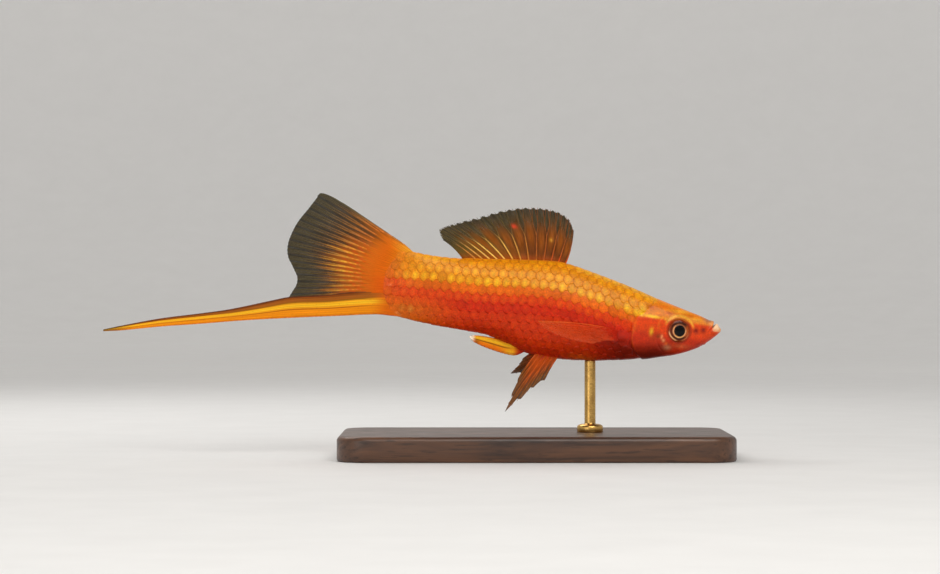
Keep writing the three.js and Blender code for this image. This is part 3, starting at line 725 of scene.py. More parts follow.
def angle_at(s, girth):
    row = np.clip((s - PLACES[0]) / PLACE_STEP, 0, len(PLACES) - 1.001)
    column = np.clip((girth + GIRTH) / GIRTH_STEP, 0, TABLE.shape[1] - 1.001)
    i, j = row.astype(int), column.astype(int)
    a, b = row - i, column - j
    near = TABLE[i, j] * (1 - b) + TABLE[i, j + 1] * b
    far = TABLE[i + 1, j] * (1 - b) + TABLE[i + 1, j + 1] * b
    return near * (1 - a) + far * a


def surface_and_normal(s, girth):
    step = 0.05
    angle = angle_at(s, girth)
    point = body_point(s, angle)
    along = body_point(s + step, angle_at(s + step, girth)) - body_point(s - step, angle_at(s - step, girth))
    across = body_point(s, angle_at(s, girth + step)) - body_point(s, angle_at(s, girth - step))
    normal = np.cross(across, along)
    length = np.linalg.norm(normal, axis=-1, keepdims=True)
    normal = normal / np.maximum(length, 1e-9)
    vertical = np.array([0, 0, 1.0]) * np.sign(np.sin(angle))[..., None]
    return point, np.where((length < 1e-6) & (point[..., 1:2] < 0.02), vertical, normal)


def scale_places():
    """Centres of the scales of one side, as s, distance round the body and row number."""
    places = []
    for row in range(-ROWS_BELOW, ROWS_ABOVE):
        for n in range(MOST_IN_A_ROW):
            step = n + 0.5 * (row % 2)
            s = FIRST_SCALE + FRONT_PITCH * step - PITCH_LOSS * step * step
            if s > LAST_PLACE - 1:
                continue
            angle = float(angle_at(np.array([s]), np.array([row * ROW_PITCH]))[0])
            if abs(angle) > math.pi / 2 - 0.015:
                continue
            z = float(body_point(np.array([s]), np.array([angle]))[0, 2])
            behind = s - float(gill_edge(z))
            if behind < 0.75 or s > float(fin_root_edge(z)) - 0.4:
                continue
            places.append((s, row * ROW_PITCH, row, behind))
    return np.array(places)


ALONG = np.array([0.0, 0.2, 0.42, 0.62, 0.78, 0.9, 0.97, 1.0])
WIDTHS = np.array([0.62, 0.86, 1.0, 0.97, 0.82, 0.58, 0.33, 0.1])
ACROSS = np.linspace(-1, 1, 9)
PLATE_P = np.repeat(ALONG, len(ACROSS))
PLATE_Q = np.outer(WIDTHS, ACROSS).ravel()
SCALE_SEEDS = {"left": 11, "right": 23}
SCALE_SUNK, SCALE_LIFT, SCALE_CROWN, SCALE_THICK = 0.04, 0.075, 0.02, 0.03
UV_PATCH = 0.003


def scale_plates(places, draw):
    """The scales' points, the bare body under them and each scale's own shade."""
    count = len(places)
    s0, g0, _, behind = places.T
    size = draw.uniform(0.94, 1.05, count)[:, None]
    tilt = draw.normal(0, 0.01, count)
    lean = draw.normal(0, 0.05, count)[:, None]
    tone = draw.normal(0, 1, count) * (1 - 0.5 * smoothstep(-1, -3.5, g0))
    small = (0.78 + 0.22 * smoothstep(68, 61, s0) - 0.08 * smoothstep(16, 12, s0))[:, None]
    ds = (PLATE_P * (SCALE_AHEAD + SCALE_BEHIND) - SCALE_AHEAD) * size * small
    dg = PLATE_Q * SCALE_HALF * size * small
    point, normal = surface_and_normal(s0[:, None] + ds + lean * dg, g0[:, None] + dg - lean * ds)
    lift = SCALE_LIFT - 0.035 * smoothstep(-1, -3.5, g0) - 0.035 * smoothstep(54, 66, s0)
    lift = lift - 0.03 * smoothstep(20, 13, s0) * smoothstep(-3, 0, g0)
    top = -SCALE_SUNK + ((lift + tilt)[:, None] + SCALE_CROWN * (1 - PLATE_Q**2)) * PLATE_P
    top = np.where(behind[:, None] + ds < 0.1, np.minimum(top, -0.02), top)
    plates = [point + normal * (top - depth)[..., None] for depth in (0, SCALE_THICK)]
    return np.concatenate(plates, 1), np.concatenate([point, point], 1), tone


def scale_uvs(s0, g0, side):
    """Each scale is a small patch where its root lies on an unwrap of the skin."""
    turn = angle_at(s0, g0) / (2 * math.pi)
    u = 0.02 + s0[:, None] / 74 + UV_PATCH * (np.tile(PLATE_P, 2) - 0.5)
    v = (0.5 + (0.23 + turn * 0.9) * side)[:, None] + UV_PATCH / 2 * np.tile(PLATE_Q, 2)
    return np.stack([u, v], -1).reshape(-1, 2)


def make_scales(side):
    word = "left" if side > 0 else "right"
    places = scale_places()
    s0, g0, row, _ = places.T
    vertices, level, tone = scale_plates(places, np.random.default_rng(SCALE_SEEDS[word]))
    vertices[..., 1] *= side
    centre = surface_and_normal(s0, g0)[0]
    tints = scale_tints(level, centre, s0, row, tone)
    one = closed_sheet_faces(len(ALONG), len(ACROSS))[:, [0, 3, 2, 1]]
    if side < 0:
        one = one[:, ::-1]
    count, per = vertices.shape[:2]
    faces = (one[None] + per * np.arange(count)[:, None, None]).reshape(-1, 4)
    reach = np.zeros((count, per, 3))
    reach[..., 0] = np.tile(np.hypot((PLATE_P - 0.48) / 0.52, PLATE_Q), 2)
    coat = mesh_object(
        f"scales_{word}", vertices.reshape(-1, 3), faces, fish_scales, tints.reshape(-1, 3),
        {"scale_place": reach.reshape(-1, 3)}, scale_uvs(s0, g0, side)[faces.ravel()],
    )
    return keep(coat, "skin_orange")


def scale_tints(level, centre, s0, row, tone):
    """Each scale takes its own tone, a brighter middle and a darker free edge."""
    own = markings_and_painted_light(centre[:, 0], centre[:, 2])[:, None]
    shared = (0.6 * smoothstep(15, 21, s0))[:, None, None]
    tints = shared * own + (1 - shared) * markings_and_painted_light(level[..., 0], level[..., 2])
    p, q = np.tile(PLATE_P, 2), np.tile(PLATE_Q, 2)
    gold_part = smoothstep(-0.6, 0.3, centre[:, 2] - bright_row(centre[:, 0]))
    middle = np.exp(-(((p - 0.62) / 0.2) ** 2) - (q / 0.52) ** 2)[None]
    spot = np.where(row == 0, 0.95, np.where(row == 1, 0.4, 0.22)) * gold_part
    spot = spot * np.clip(0.8 + 0.3 * tone, 0.15, 1.15) * smoothstep(67, 60, s0)
    stripe = np.where(row == -1, 0.7, np.where(row == -2, 0.4, 0.14)) * (1 - gold_part)
    stripe = stripe * np.clip(0.8 + 0.3 * tone, 0.2, 1.2) * smoothstep(20, 26, s0)
    dull = 0.75 * patch(s0, centre[:, 2], 62.2, -4.15, 1.7, 0.7)
    edge = smoothstep(0.72, 1.0, np.hypot((p - 0.48) / 0.52, 0.8 * q)) * smoothstep(0.4, 0.7, p)
    rimmed = (0.3 * gold_part + 0.08) * (0.5 + 0.5 * smoothstep(66, 56, s0))
    tints = layered(
        tints,
        (BRIGHT_YELLOW, spot[:, None] * middle),
        (srgb(240, 112, 20), stripe[:, None] * middle),
        (srgb(206, 150, 58), dull[:, None] * middle),
        (BROWN, rimmed[:, None] * edge[None]),
    )
    return tints * (1 + 0.05 * tone)[:, None, None]


# Fins: a thin membrane between jointed rays that branch towards the edge.
def between_rays(u):
    """0 on a ray and 1 halfway to the next."""
    return 1 - np.abs(2 * (u % 1) - 1)


def fin_surface(roots, tips, bow, offset):
    """Points of a fin by ray number, counted from its front or top, and share of the ray's length."""
    index = np.arange(len(roots))
    lines = [
        smooth_line(np.stack([index, np.array(column, float)], 1))
        for column in (*np.transpose(roots), *np.transpose(tips))
    ]

    def surface(u, t):
        u, t = np.broadcast_arrays(np.asarray(u, float), np.asarray(t, float))
        root_s, root_z, tip_s, tip_z = (line(u) for line in lines)
        length = np.hypot(tip_s - root_s, tip_z - root_z)
        sag = bow * 4 * t * (1 - t)
        s = root_s + (tip_s - root_s) * t - sag * (tip_z - root_z) / length
        z = root_z + (tip_z - root_z) * t + sag * (tip_s - root_s) / length
        return offset(s, z, u, t)

    return surface


def sheet_mesh(
    name, surface, columns, tint, notch, thick=0.025, per_ray=6, steps=36, seed=3, root=0.0, points=1,
    flesh=0.0,
):
    """The membrane as a thin closed sheet whose margin is notched between the rays."""
    draw = np.random.default_rng(seed)
    u = np.linspace(0, columns - 1, (columns - 1) * per_ray + 1)
    ragged = np.interp(u, np.arange(columns * 2) / 2, draw.uniform(0.5, 1.4, columns * 2))
    end = 1 - notch * ragged * between_rays(u * points)
    grid_u, grid_t = np.meshgrid(u, np.linspace(0, 1, steps), indexing="ij")
    grid_t = grid_t * end[:, None]
    middle = surface(grid_u, grid_t)
    half = thick * (1 - 0.6 * grid_t) + root * smoothstep(0.5, 0.16, grid_t)
    normal = sheet_normal(middle)
    upper = middle + normal * half[..., None]
    lower = middle - normal * half[..., None]
    rows, cols = grid_u.shape
    vertices = np.concatenate([upper.reshape(-1, 3), lower.reshape(-1, 3)])
    faces = closed_sheet_faces(rows, cols)
    flat_u, flat_t = np.tile(grid_u.ravel(), 2), np.tile(grid_t.ravel(), 2)
    place = np.stack([flat_t, flat_u, np.zeros_like(flat_u)], 1)
    tints = from_flesh(tint(flat_u, flat_t), vertices, flat_t, flesh)
    return mesh_object(name, vertices, faces, fin_membrane, tints, {"fin_place": place})


FLESH_END = 68.5


def from_flesh(tints, points, t, flesh):
    """A fin's root takes the colour of the flesh that it grows from."""
    if not flesh:
        return tints
    near = smoothstep(flesh, 0.3 * flesh, t)
    body = markings_and_painted_light(np.clip(points[:, 0], 0, FLESH_END), points[:, 2])
    tints = tints.copy()
    tints[:, :3] = paint(tints[:, :3], body, near)
    if tints.shape[1] == 4:
        tints[:, 3] += (1 - tints[:, 3]) * near
    return tints


def sheet_normal(middle):
    across = np.gradient(middle, axis=0)
    along = np.gradient(middle, axis=1)
    normal = np.cross(across, along)
    return normal / np.maximum(np.linalg.norm(normal, axis=-1, keepdims=True), 1e-9)


SIDES_OF_RAY = 6
# A ray forks at two shares of its length. Past its end, it doesn't fork.
UNBRANCHED = (2.0, 3.0)


def ray_tube(path, radii):
    """A flattened tube along a path, with its flat sides towards the fin's faces."""
    along = np.gradient(path, axis=0)
    along /= np.maximum(np.linalg.norm(along, axis=1, keepdims=True), 1e-9)
    across = np.cross(along, [0, 1.0, 0])
    across /= np.maximum(np.linalg.norm(across, axis=1, keepdims=True), 1e-9)
    out = np.cross(across, along)
    angles = np.arange(SIDES_OF_RAY) * 2 * math.pi / SIDES_OF_RAY
    ring = (
        1.3 * np.cos(angles)[None, :, None] * across[:, None]
        + 0.8 * np.sin(angles)[None, :, None] * out[:, None]
    )
    return path[:, None] + ring * radii[:, None, None]


def ray_paths(number, end, branch, spread):
    """Ray numbers and shares of length along a ray's stem, forks and tips."""
    first, second = branch
    paths = [(number, 0.0, min(first + 0.03, end), 1.0, [])]
    if first >= end:
        return paths
    for a in (-1, 1):
        paths.append((number, first, min(second + 0.02, end), 0.72, [(a * spread, first, second)]))
        for b in (-1, 1):
            forks = [(a * spread, first, second), (b * spread * 0.5, second, 1.0)]
            paths.append((number, second, end, 0.5, forks))
    return paths


def ray_mesh(
    name, surface, count, tint, radius, end=1.0, branch=(0.42, 0.7), spread=0.24, joint=0.55, rise=0.0,
    flesh=0.0,
):
    """All rays of a fin as one mesh of jointed, tapering and branching tubes."""
    vertices, faces, tints = [], [], []
    start = 0
    for number in range(count):
        for base_u, low, high, share, forks in ray_paths(number, end, branch, spread):
            reach = np.linalg.norm(surface(base_u, high) - surface(base_u, low))
            steps = max(int(reach / 0.16), 6)
            t = np.linspace(low, high, steps)
            u = base_u + sum((d * smoothstep(a, b, t) for d, a, b in forks), np.zeros(steps))
            path = surface(np.clip(u, 0, None), t)
            length = np.concatenate([[0], np.cumsum(np.linalg.norm(np.diff(path, axis=0), axis=1))])
            pinch = 1 - 0.1 * hump((length / joint) % 1 - 0.5, 0.16) * smoothstep(0.1, 0.25, t)
            size = radius * share * (1 - 0.6 * t) * pinch * smoothstep(-0.1, 1.0, t / max(rise, 0.01))
            size[-1] *= 0.3
            tube = ray_tube(path, np.maximum(size, 0.03))
            rings = len(t)
            quads, nose, tail = closed_tube_faces(rings, SIDES_OF_RAY)
            block = np.concatenate([tube.reshape(-1, 3), path[:1], path[-1:]])
            vertices.append(block)
            faces += (quads + start).tolist() + (nose + start).tolist() + (tail + start).tolist()
            flat = np.concatenate([np.repeat(t, SIDES_OF_RAY), t[:1], t[-1:]])
            flat_u = np.concatenate([np.repeat(u, SIDES_OF_RAY), u[:1], u[-1:]])
            tints.append(from_flesh(tint(flat_u, flat), block, flat, flesh))
            start += len(block)
    return mesh_object(name, np.concatenate(vertices), faces, fin_ray, np.concatenate(tints))


def make_fin(name, node, slot, surface, counts, colours, sheet, rays):
    """Builds a fin's membrane, which stands for the node, and its rays."""
    keep(sheet_mesh(name.format("membrane"), surface, counts[0], colours[0], **sheet), slot, node)
    keep(ray_mesh(name.format("rays"), surface, counts[1], colours[1], **rays), slot)


def with_alpha(colour, alpha):
    return np.concatenate([colour, np.clip(alpha, 0, 1)[..., None]], -1)


def upright(s, z, u, t):
    return np.stack([s, np.zeros_like(s), z], -1)


# Dorsal fin.
DORSAL_RAYS = 13
DORSAL_FRONT, DORSAL_PITCH, DORSAL_SUNK = 32.6, 1.42, 0.6
DORSAL_TIPS = [
    [31.75, 15.5], [33.4, 18.0], [36.9, 19.0], [41.2, 18.85], [45.8, 17.7], [51.0, 15.5], [58.3, 12.0],
    [57.4, 10.0],
]
dorsal_fanning = smooth_line([[0, 0], [4, 0.32], [6, 0.53], [8.7, 0.83], [11, 0.93], [12, 0.965]])


def dorsal_lines():
    base = DORSAL_FRONT + DORSAL_PITCH * np.arange(DORSAL_RAYS)
    roots = np.stack([base, back_line(base) - DORSAL_SUNK], 1)
    tips = curve_through(DORSAL_TIPS)(dorsal_fanning(np.arange(DORSAL_RAYS)))
    roots = np.append(roots, [[52.6, float(back_line(52.6)) - DORSAL_SUNK]], 0)
    tips = np.append(tips, DORSAL_TIPS[-1:], 0)
    return roots, tips


OLIVE = srgb(84, 70, 32)
SMOKE = srgb(62, 52, 22)
DARK_SMOKE = srgb(38, 32, 16)
OLIVE_GOLD = srgb(110, 82, 22)
RUST = srgb(152, 78, 2)
DARK_RUST = srgb(96, 46, 8)
RAY_GOLD = srgb(255, 206, 96)
RAY_AMBER = srgb(214, 124, 34)
RAY_DULL = srgb(98, 80, 40)


def dorsal_membrane(u, t):
    front = smoothstep(8.5, 4, u)
    gap = smoothstep(0.1, 0.7, between_rays(u))
    patches = gap * hump(t - 0.46 + 0.05 * np.sin(u * 2.3), 0.25) * smoothstep(11.5, 9, u)
    colour = shaded(
        u.shape, SMOKE,
        (OLIVE_GOLD, 0.8 * (1 - front) * smoothstep(0.9, 0.3, t)),
        (DARK_RUST, 0.9 * front * smoothstep(0.8, 0.4, t)),
        (RUST, 0.8 * patches),
        (RUST, 0.8 * (1 - front) * smoothstep(0.4, 0.12, t)),
        (srgb(190, 88, 10), 0.5 * smoothstep(0.2, 0.06, t)),
        (DARK_SMOKE, 0.5 * smoothstep(0.82, 1.0, t)),
        (srgb(230, 60, 20), patch(u, t, 5.6, 0.68, 0.16, 0.04)),
        (PALE_GOLD, 0.7 * patch(u, t, 2.5, 0.45, 0.14, 0.03)),
    )
    return with_alpha(colour, 0.93 - 0.1 * smoothstep(0.4, 1.0, t))


def dorsal_ray(u, t):
    return shaded(
        u.shape, RAY_DULL,
        (RAY_AMBER, 0.75 * smoothstep(0.7, 0.3, t)),
        (RAY_GOLD, hump(u - 8.6, 2.4) * smoothstep(0.62, 0.34, t)),
        (srgb(158, 72, 14), 0.7 * smoothstep(6, 3.5, u)),
        (ORANGE_RED, 0.5 * smoothstep(4, 1, u) * smoothstep(0.35, 0.1, t)),
    )


def make_dorsal():
    roots, tips = dorsal_lines()
    make_fin(
        "dorsal_{}", "dorsal_fin", "fin_membrane", fin_surface(roots, tips, 0.35, upright),
        (len(roots), DORSAL_RAYS), (dorsal_membrane, dorsal_ray), {"notch": 0.05, "points": 2},
        {"radius": 0.13, "branch": (0.46, 0.72), "spread": 0.2, "flesh": 0.1},
    )


# Tail fin: the fan above and the sword below.
FAN_SEAM_Z = -4.6


def tail_sway(s, z):
    back = np.clip(s - 60, 0, None) / 62
    ripple = 0.45 * np.sin(math.pi * (z - FAN_SEAM_Z) / 9) * smoothstep(68, 84, s)
    return 2.2 * back * back + np.where(z > FAN_SEAM_Z, ripple, 0)


def swaying(s, z, u, t):
    return np.stack([s, tail_sway(s, z), z], -1)


sword_top = smooth_line([
    [60, -0.95], [67.8, -1.9], [73.7, -2.95], [79.4, -4.35], [86, -5.65], [89.9, -7.0],
    [97.6, -9.75], [103.4, -11.4], [111.2, -13.5], [118.9, -16.05], [122.4, -17.3],
])
sword_bottom = smooth_line([
    [60, -6.3], [65, -6.35], [68.7, -6.4], [75.6, -7.65], [87.4, -9.85], [95.3, -11.45],
    [103.1, -13.2], [111, -14.9], [118.8, -16.8], [122.4, -17.5],
])
FAN_EDGE_TIPS = [[69.4, 10.2], [73.2, 12.15], [77.4, 14.2], [80.8, 15.6]]
FAN_MARGIN = [
    [83.0, 15.9], [84.7, 12.9], [86.8, 9.2], [88.0, 5.1], [87.7, 2.5], [86.2, 0.2], [85.1, -2.2],
    [86.4, -5.7],
]
FAN_RAYS = 17


def fan_lines():
    main_roots = curve_through([[63.6, 6.6], [64.8, 4.2], [65.4, 1.5], [65.3, -1.7]])
    share = np.linspace(0, 1, FAN_RAYS)
    roots = np.concatenate([[[62.6, 6.6], [62.9, 6.6], [63.2, 6.6], [63.4, 6.6]], main_roots(share)])
    tips = np.concatenate([FAN_EDGE_TIPS, curve_through(FAN_MARGIN)(share)])
    return roots, tips


AMBER_FIN = srgb(206, 106, 16)
BROWN_FIN = srgb(104, 62, 16)
GREY_SMOKE = srgb(56, 49, 28)


def fan_warmth(u, t):
    """1 at the fleshy root of the fan and 0 in its smoky outer part."""
    reach = 0.36 + 0.24 * smoothstep(5, 14, u) + 0.05 * np.sin(u * 3.1) + 0.04 * np.sin(u * 7.7)
    return smoothstep(reach + 0.16, reach - 0.2, t)


def fan_membrane(u, t):
    warm = fan_warmth(u, t)
    gap = smoothstep(0.3, 0.95, between_rays(u))
    flecks = smoothstep(0.2, 0.9, np.sin(t * 61 + u * 4.3)) * hump(t - 0.38, 0.13) * smoothstep(5, 11, u)
    colour = shaded(
        u.shape, GREY_SMOKE,
        (BROWN_FIN, 0.75 * smoothstep(0.95, 0.5, t)),
        (AMBER_FIN, warm),
        (BROWN_FIN, 0.5 * gap * smoothstep(0.25, 0.4, t) * warm),
        (DARK_SMOKE, 0.75 * gap * smoothstep(0.4, 0.75, t)),
        (ORANGE_RED, 0.55 * flecks),
        (TAIL_ORANGE, 0.95 * smoothstep(0.26, 0.08, t)),
    )
    return with_alpha(colour, 0.8 + 0.15 * smoothstep(0.85, 0.4, t) * (0.6 + 0.4 * warm))


def fan_ray(u, t):
    warm = fan_warmth(u, t)
    return shaded(
        u.shape, srgb(84, 72, 42),
        (RAY_AMBER, 0.62 * smoothstep(0.85, 0.35, t)),
        (srgb(250, 190, 50), warm * smoothstep(0.18, 0.42, t) * (0.55 + 0.35 * np.sin(u * 5.9))),
        (srgb(206, 70, 16), 0.4 * warm * smoothstep(0.1, 0.9, np.sin(t * 74 + u * 5.3))),
        (TAIL_ORANGE, smoothstep(0.2, 0.06, t)),
    )


def make_fan():
    roots, tips = fan_lines()
    make_fin(
        "tail_fan_{}", "tail_fan", "fin_membrane", fin_surface(roots, tips, 0.15, swaying),
        (len(roots), len(roots)), (fan_membrane, fan_ray),
        {"notch": 0.005, "seed": 5, "root": 0.14, "points": 2, "flesh": 0.38},
        {"radius": 0.2, "end": 0.995, "branch": (0.36, 0.66), "spread": 0.18, "rise": 0.5, "flesh": 0.6},
    )


SWORD_RAYS = 11
SWORD_ROOT, SWORD_TIP = 62.5, 122.4
YELLOW_BAND = srgb(255, 200, 40)
SWORD_ORANGE = srgb(246, 148, 16)
DARK_BAND = srgb(70, 28, 14)
SWORD_BROWN = srgb(158, 88, 28)


def sword_surface(u, t):
    u, t = np.broadcast_arrays(np.asarray(u, float), np.asarray(t, float))
    s = SWORD_ROOT + (SWORD_TIP - SWORD_ROOT) * t
    z = sword_top(s) + (sword_bottom(s) - sword_top(s)) * u / (SWORD_RAYS - 1)
    return swaying(s, z, u, t)


def sword_colours(u, t):
    c = u / (SWORD_RAYS - 1) + 0.015 * np.sin(t * 21)
    lift = 0.12 * smoothstep(0.45, 0.9, t)
    gap = smoothstep(0.4, 1.0, between_rays(u)) * smoothstep(0.95, 0.75, t)
    return shaded(
        u.shape, SWORD_ORANGE,
        (SWORD_BROWN, smoothstep(0.32 - lift, 0.24 - lift, c)),
        (DARK_BAND, 0.9 * hump(c - 0.29 + lift, 0.04) * smoothstep(0.06, 0.16, t)),
        (DARK_BAND, 0.85 * hump(c - 0.02, 0.07) * smoothstep(0.1, 0.2, t)),
        (YELLOW_BAND, 0.95 * hump(c - 0.46 + 0.5 * lift, 0.12)),
        (BROWN, 0.75 * hump(c - 0.64, 0.03) * smoothstep(0.06, 0.2, t)),
        (TAIL_ORANGE, 0.35 * smoothstep(0.9, 1.0, c)),
        (srgb(196, 96, 14), 0.45 * gap),
        (TAIL_ORANGE, 0.8 * smoothstep(0.13, 0.03, t)),
        (OLIVE, 0.75 * smoothstep(0.88, 1.0, t)),
    )


def make_sword():
    def membrane(u, t):
        return with_alpha(sword_colours(u, t), np.full(u.shape, 0.97))

    make_fin(
        "sword_{}", "sword", "sword_fin", sword_surface,
        (SWORD_RAYS, SWORD_RAYS), (membrane, sword_colours),
        {"notch": 0.0, "thick": 0.16, "per_ray": 4, "steps": 90, "flesh": 0.13},
        {"radius": 0.19, "branch": UNBRANCHED, "joint": 0.9, "rise": 0.14, "flesh": 0.13},
    )


# Anal fin: folded into a slim rod under the tail.
ANAL_ROOT, ANAL_TIP, ANAL_RAYS = 38.0, 49.5, 6
anal_top = smooth_line([[37, -8.4], [41.6, -8.7], [44.5, -8.3], [47.4, -8.15], [49.5, -8.3]])
anal_bottom = smooth_line([
    [37, -9.3], [38, -9.8], [39.6, -10.35], [41.5, -10.45], [45.4, -9.9], [48.1, -9.2], [49.5, -8.45],
])


def anal_surface(u, t):
    u, t = np.broadcast_arrays(np.asarray(u, float), np.asarray(t, float))
    s = ANAL_ROOT + (ANAL_TIP - ANAL_ROOT) * t
    z = anal_top(s) + (anal_bottom(s) - anal_top(s)) * u / (ANAL_RAYS - 1)
    return np.stack([s, np.zeros_like(s), z], -1)


def anal_colours(u, t):
    c = u / (ANAL_RAYS - 1)
    return shaded(
        u.shape, SWORD_ORANGE,
        (YELLOW_BAND, 0.9 * hump(c - 0.2, 0.2)),
        (srgb(236, 110, 14), 0.8 * smoothstep(0.55, 0.8, c)),
        (DARK_BAND, 0.8 * hump(c - 0.5, 0.08) * smoothstep(0.15, 0.4, t)),
        (YELLOW_BAND, 0.7 * patch(c, t, 0.85, 0.25, 0.25, 0.12)),
        (ORANGE_RED, 0.8 * smoothstep(0.22, 0.05, t)),
        (OLIVE, 0.6 * patch(c, t, 0.8, 0.86, 0.3, 0.05)),
        (srgb(255, 240, 216), smoothstep(0.88, 0.95, t)),
    )


def make_anal():
    def membrane(u, t):
        return with_alpha(anal_colours(u, t), np.full(u.shape, 1.0))

    make_fin(
        "anal_fin_{}", "anal_fin", "sword_fin", anal_surface,
        (ANAL_RAYS, ANAL_RAYS), (membrane, anal_colours),
        {"notch": 0.0, "thick": 0.4, "per_ray": 4, "steps": 40, "flesh": 0.22},
        {"radius": 0.4, "end": 0.97, "branch": UNBRANCHED, "joint": 0.8, "rise": 0.2, "flesh": 0.22},
    )


# Pelvic fins.
PELVIC_Y, PELVIC_ROOT_Z = 1.0, -9.3
PELVIC_FINS = {
    "right": {
        "side": -1,
        "splay": 14,
        "roots": [[31.2, -9.3], [35.4, -9.3]],
        "tips": [[33.4, -14.9], [35.4, -16.6], [37.6, -19.2], [40.4, -22.2], [39.5, -18.3], [38.7, -15.2]],
    },
    "left": {
        "side": 1,
        "splay": 34,
        "roots": [[31.4, -9.3], [35.8, -9.3]],
        "tips": [[34.8, -13.6], [37.6, -15.0], [40.2, -14.7], [39.5, -13.6], [38.8, -12.5], [38.3, -11.4]],
    },
}


def pelvic_membrane(u, t):
    gap = smoothstep(0.2, 0.9, between_rays(u))
    colour = shaded(
        u.shape, srgb(112, 66, 18), (srgb(190, 74, 8), smoothstep(0.75, 0.15, t)),
        (DARK_RUST, 0.7 * gap * smoothstep(0.15, 0.5, t)), (SMOKE, 0.7 * gap * smoothstep(0.6, 0.95, t)),
    )
    return with_alpha(colour, 0.93 - 0.12 * smoothstep(0.4, 1.0, t))


def pelvic_ray(u, t):
    return shaded(u.shape, srgb(142, 82, 22), (srgb(200, 84, 10), smoothstep(0.85, 0.3, t)))


def make_pelvic(word):
    shape = PELVIC_FINS[word]
    slope = math.radians(shape["splay"])

    def splayed(s, z, u, t):
        down = np.clip(PELVIC_ROOT_Z - z, 0, None)
        y = PELVIC_Y + down * math.tan(slope) + 0.12 * np.sin(1.6 * u) * t
        return np.stack([s, shape["side"] * y, z], -1)

    front, rear = np.array(shape["roots"])
    share = np.linspace(0, 1, len(shape["tips"]))[:, None]
    count = len(shape["tips"])
    make_fin(
        f"pelvic_{{}}_{word}", f"pelvic_fin_{word}", "fin_membrane",
        fin_surface(front + (rear - front) * share, shape["tips"], 0.12, splayed),
        (count, count), (pelvic_membrane, pelvic_ray), {"notch": 0.12, "seed": 9},
        {"radius": 0.13, "end": 0.93, "branch": (0.3, 0.56), "joint": 0.5, "flesh": 0.2},
    )


# Pectoral fins.
PECTORAL_S, PECTORAL_RAYS, PECTORAL_FLARE = 19.2, 14, 12
PECTORAL_ROOTS = [[PECTORAL_S, -3.0], [PECTORAL_S + 0.4, -5.1]]
PAD_Z, PAD_LENGTH, PAD_HEIGHT, PAD_BULGE = -4.05, 1.25, 1.4, 0.24
PECTORAL_TIPS = [[36.5, -3.3], [35.5, -4.4], [32.4, -5.5], [29.0, -6.1], [25.0, -6.3]]


def pectoral_membrane(u, t):
    colour = shaded(u.shape, srgb(226, 74, 18), (srgb(222, 96, 36), smoothstep(0.5, 1.0, t)))
    return with_alpha(colour, 0.2 * smoothstep(0.05, 0.35, t))


def pectoral_ray(u, t):
    front = smoothstep(1.0, 0.0, u)
    return shaded(u.shape, srgb(210, 56, 12), (srgb(238, 106, 36), 0.12 + 0.75 * front))


def make_pectoral(side):
    word = "left" if side > 0 else "right"
    root_y = float(flank_at(PECTORAL_S, -4.4)) + 0.45
    slope = math.tan(math.radians(PECTORAL_FLARE))

    def folded(s, z, u, t):
        low = flank_at(s, z) + 0.1
        y = low + (root_y + (s - PECTORAL_S) * slope - low) * smoothstep(0, 0.25, t)
        return np.stack([s, side * y, z], -1)

    share = np.linspace(0, 1, PECTORAL_RAYS)
    roots = curve_through(PECTORAL_ROOTS)(share)
    tips = curve_through(PECTORAL_TIPS)(share)
    make_fin(
        f"pectoral_{{}}_{word}", f"pectoral_fin_{word}", "fin_membrane",
        fin_surface(roots, tips, 0.5, folded),
        (PECTORAL_RAYS, PECTORAL_RAYS), (pectoral_membrane, pectoral_ray), {"notch": 0.02, "thick": 0.035},
        {"radius": 0.065, "branch": (0.5, 0.8), "rise": 0.15, "flesh": 0.4},
    )
    make_pectoral_pad(word, side)


def make_pectoral_pad(word, side):
    """The fleshy lobe that a pectoral fin's rays come out of."""
    top = np.linspace(0.05, 1, 12)
    r, angle = np.meshgrid(np.concatenate([top, top[::-1]]), np.arange(32) * math.pi / 16, indexing="ij")
    ahead, above = r * np.cos(angle), r * np.sin(angle)
    s = PECTORAL_S + 0.25 + PAD_LENGTH * ahead
    z = PAD_Z + PAD_HEIGHT * above - 0.15 * ahead
    out = np.concatenate([PAD_BULGE * (1 - top**2) ** 1.5 - 0.02, np.full(12, -0.3)])[:, None]
    grid = np.stack([s, side * (flank_at(s, z) + out), z], -1)
    points = with_hubs(grid)
    tints = markings_and_painted_light(points[:, 0], points[:, 2])
    keep(closed_form(f"pectoral_pad_{word}", grid, wet_skin, tints, side > 0), "skin_orange")


# Eyes.
EYE_BULGE, EYE_TOE = 0.62, math.radians(10)
EYE_BACK_RADII, EYE_BACK_HEIGHTS = (2.26, 2.2, 1.9, 1.2, 0.1), (-0.25, -0.6, -1.0, -1.35, -1.45)
EYE_SIDES = 96
PUPIL = srgb(6, 4, 5)


def eye_height(r):
    """How far the eye stands out at a distance from its middle."""
    dome = EYE_BULGE * np.sqrt(np.clip(1 - (r / (EYE_RADIUS * 1.02)) ** 2, 0, None))
    return dome + 0.05 * smoothstep(1.2, 1.02, r)


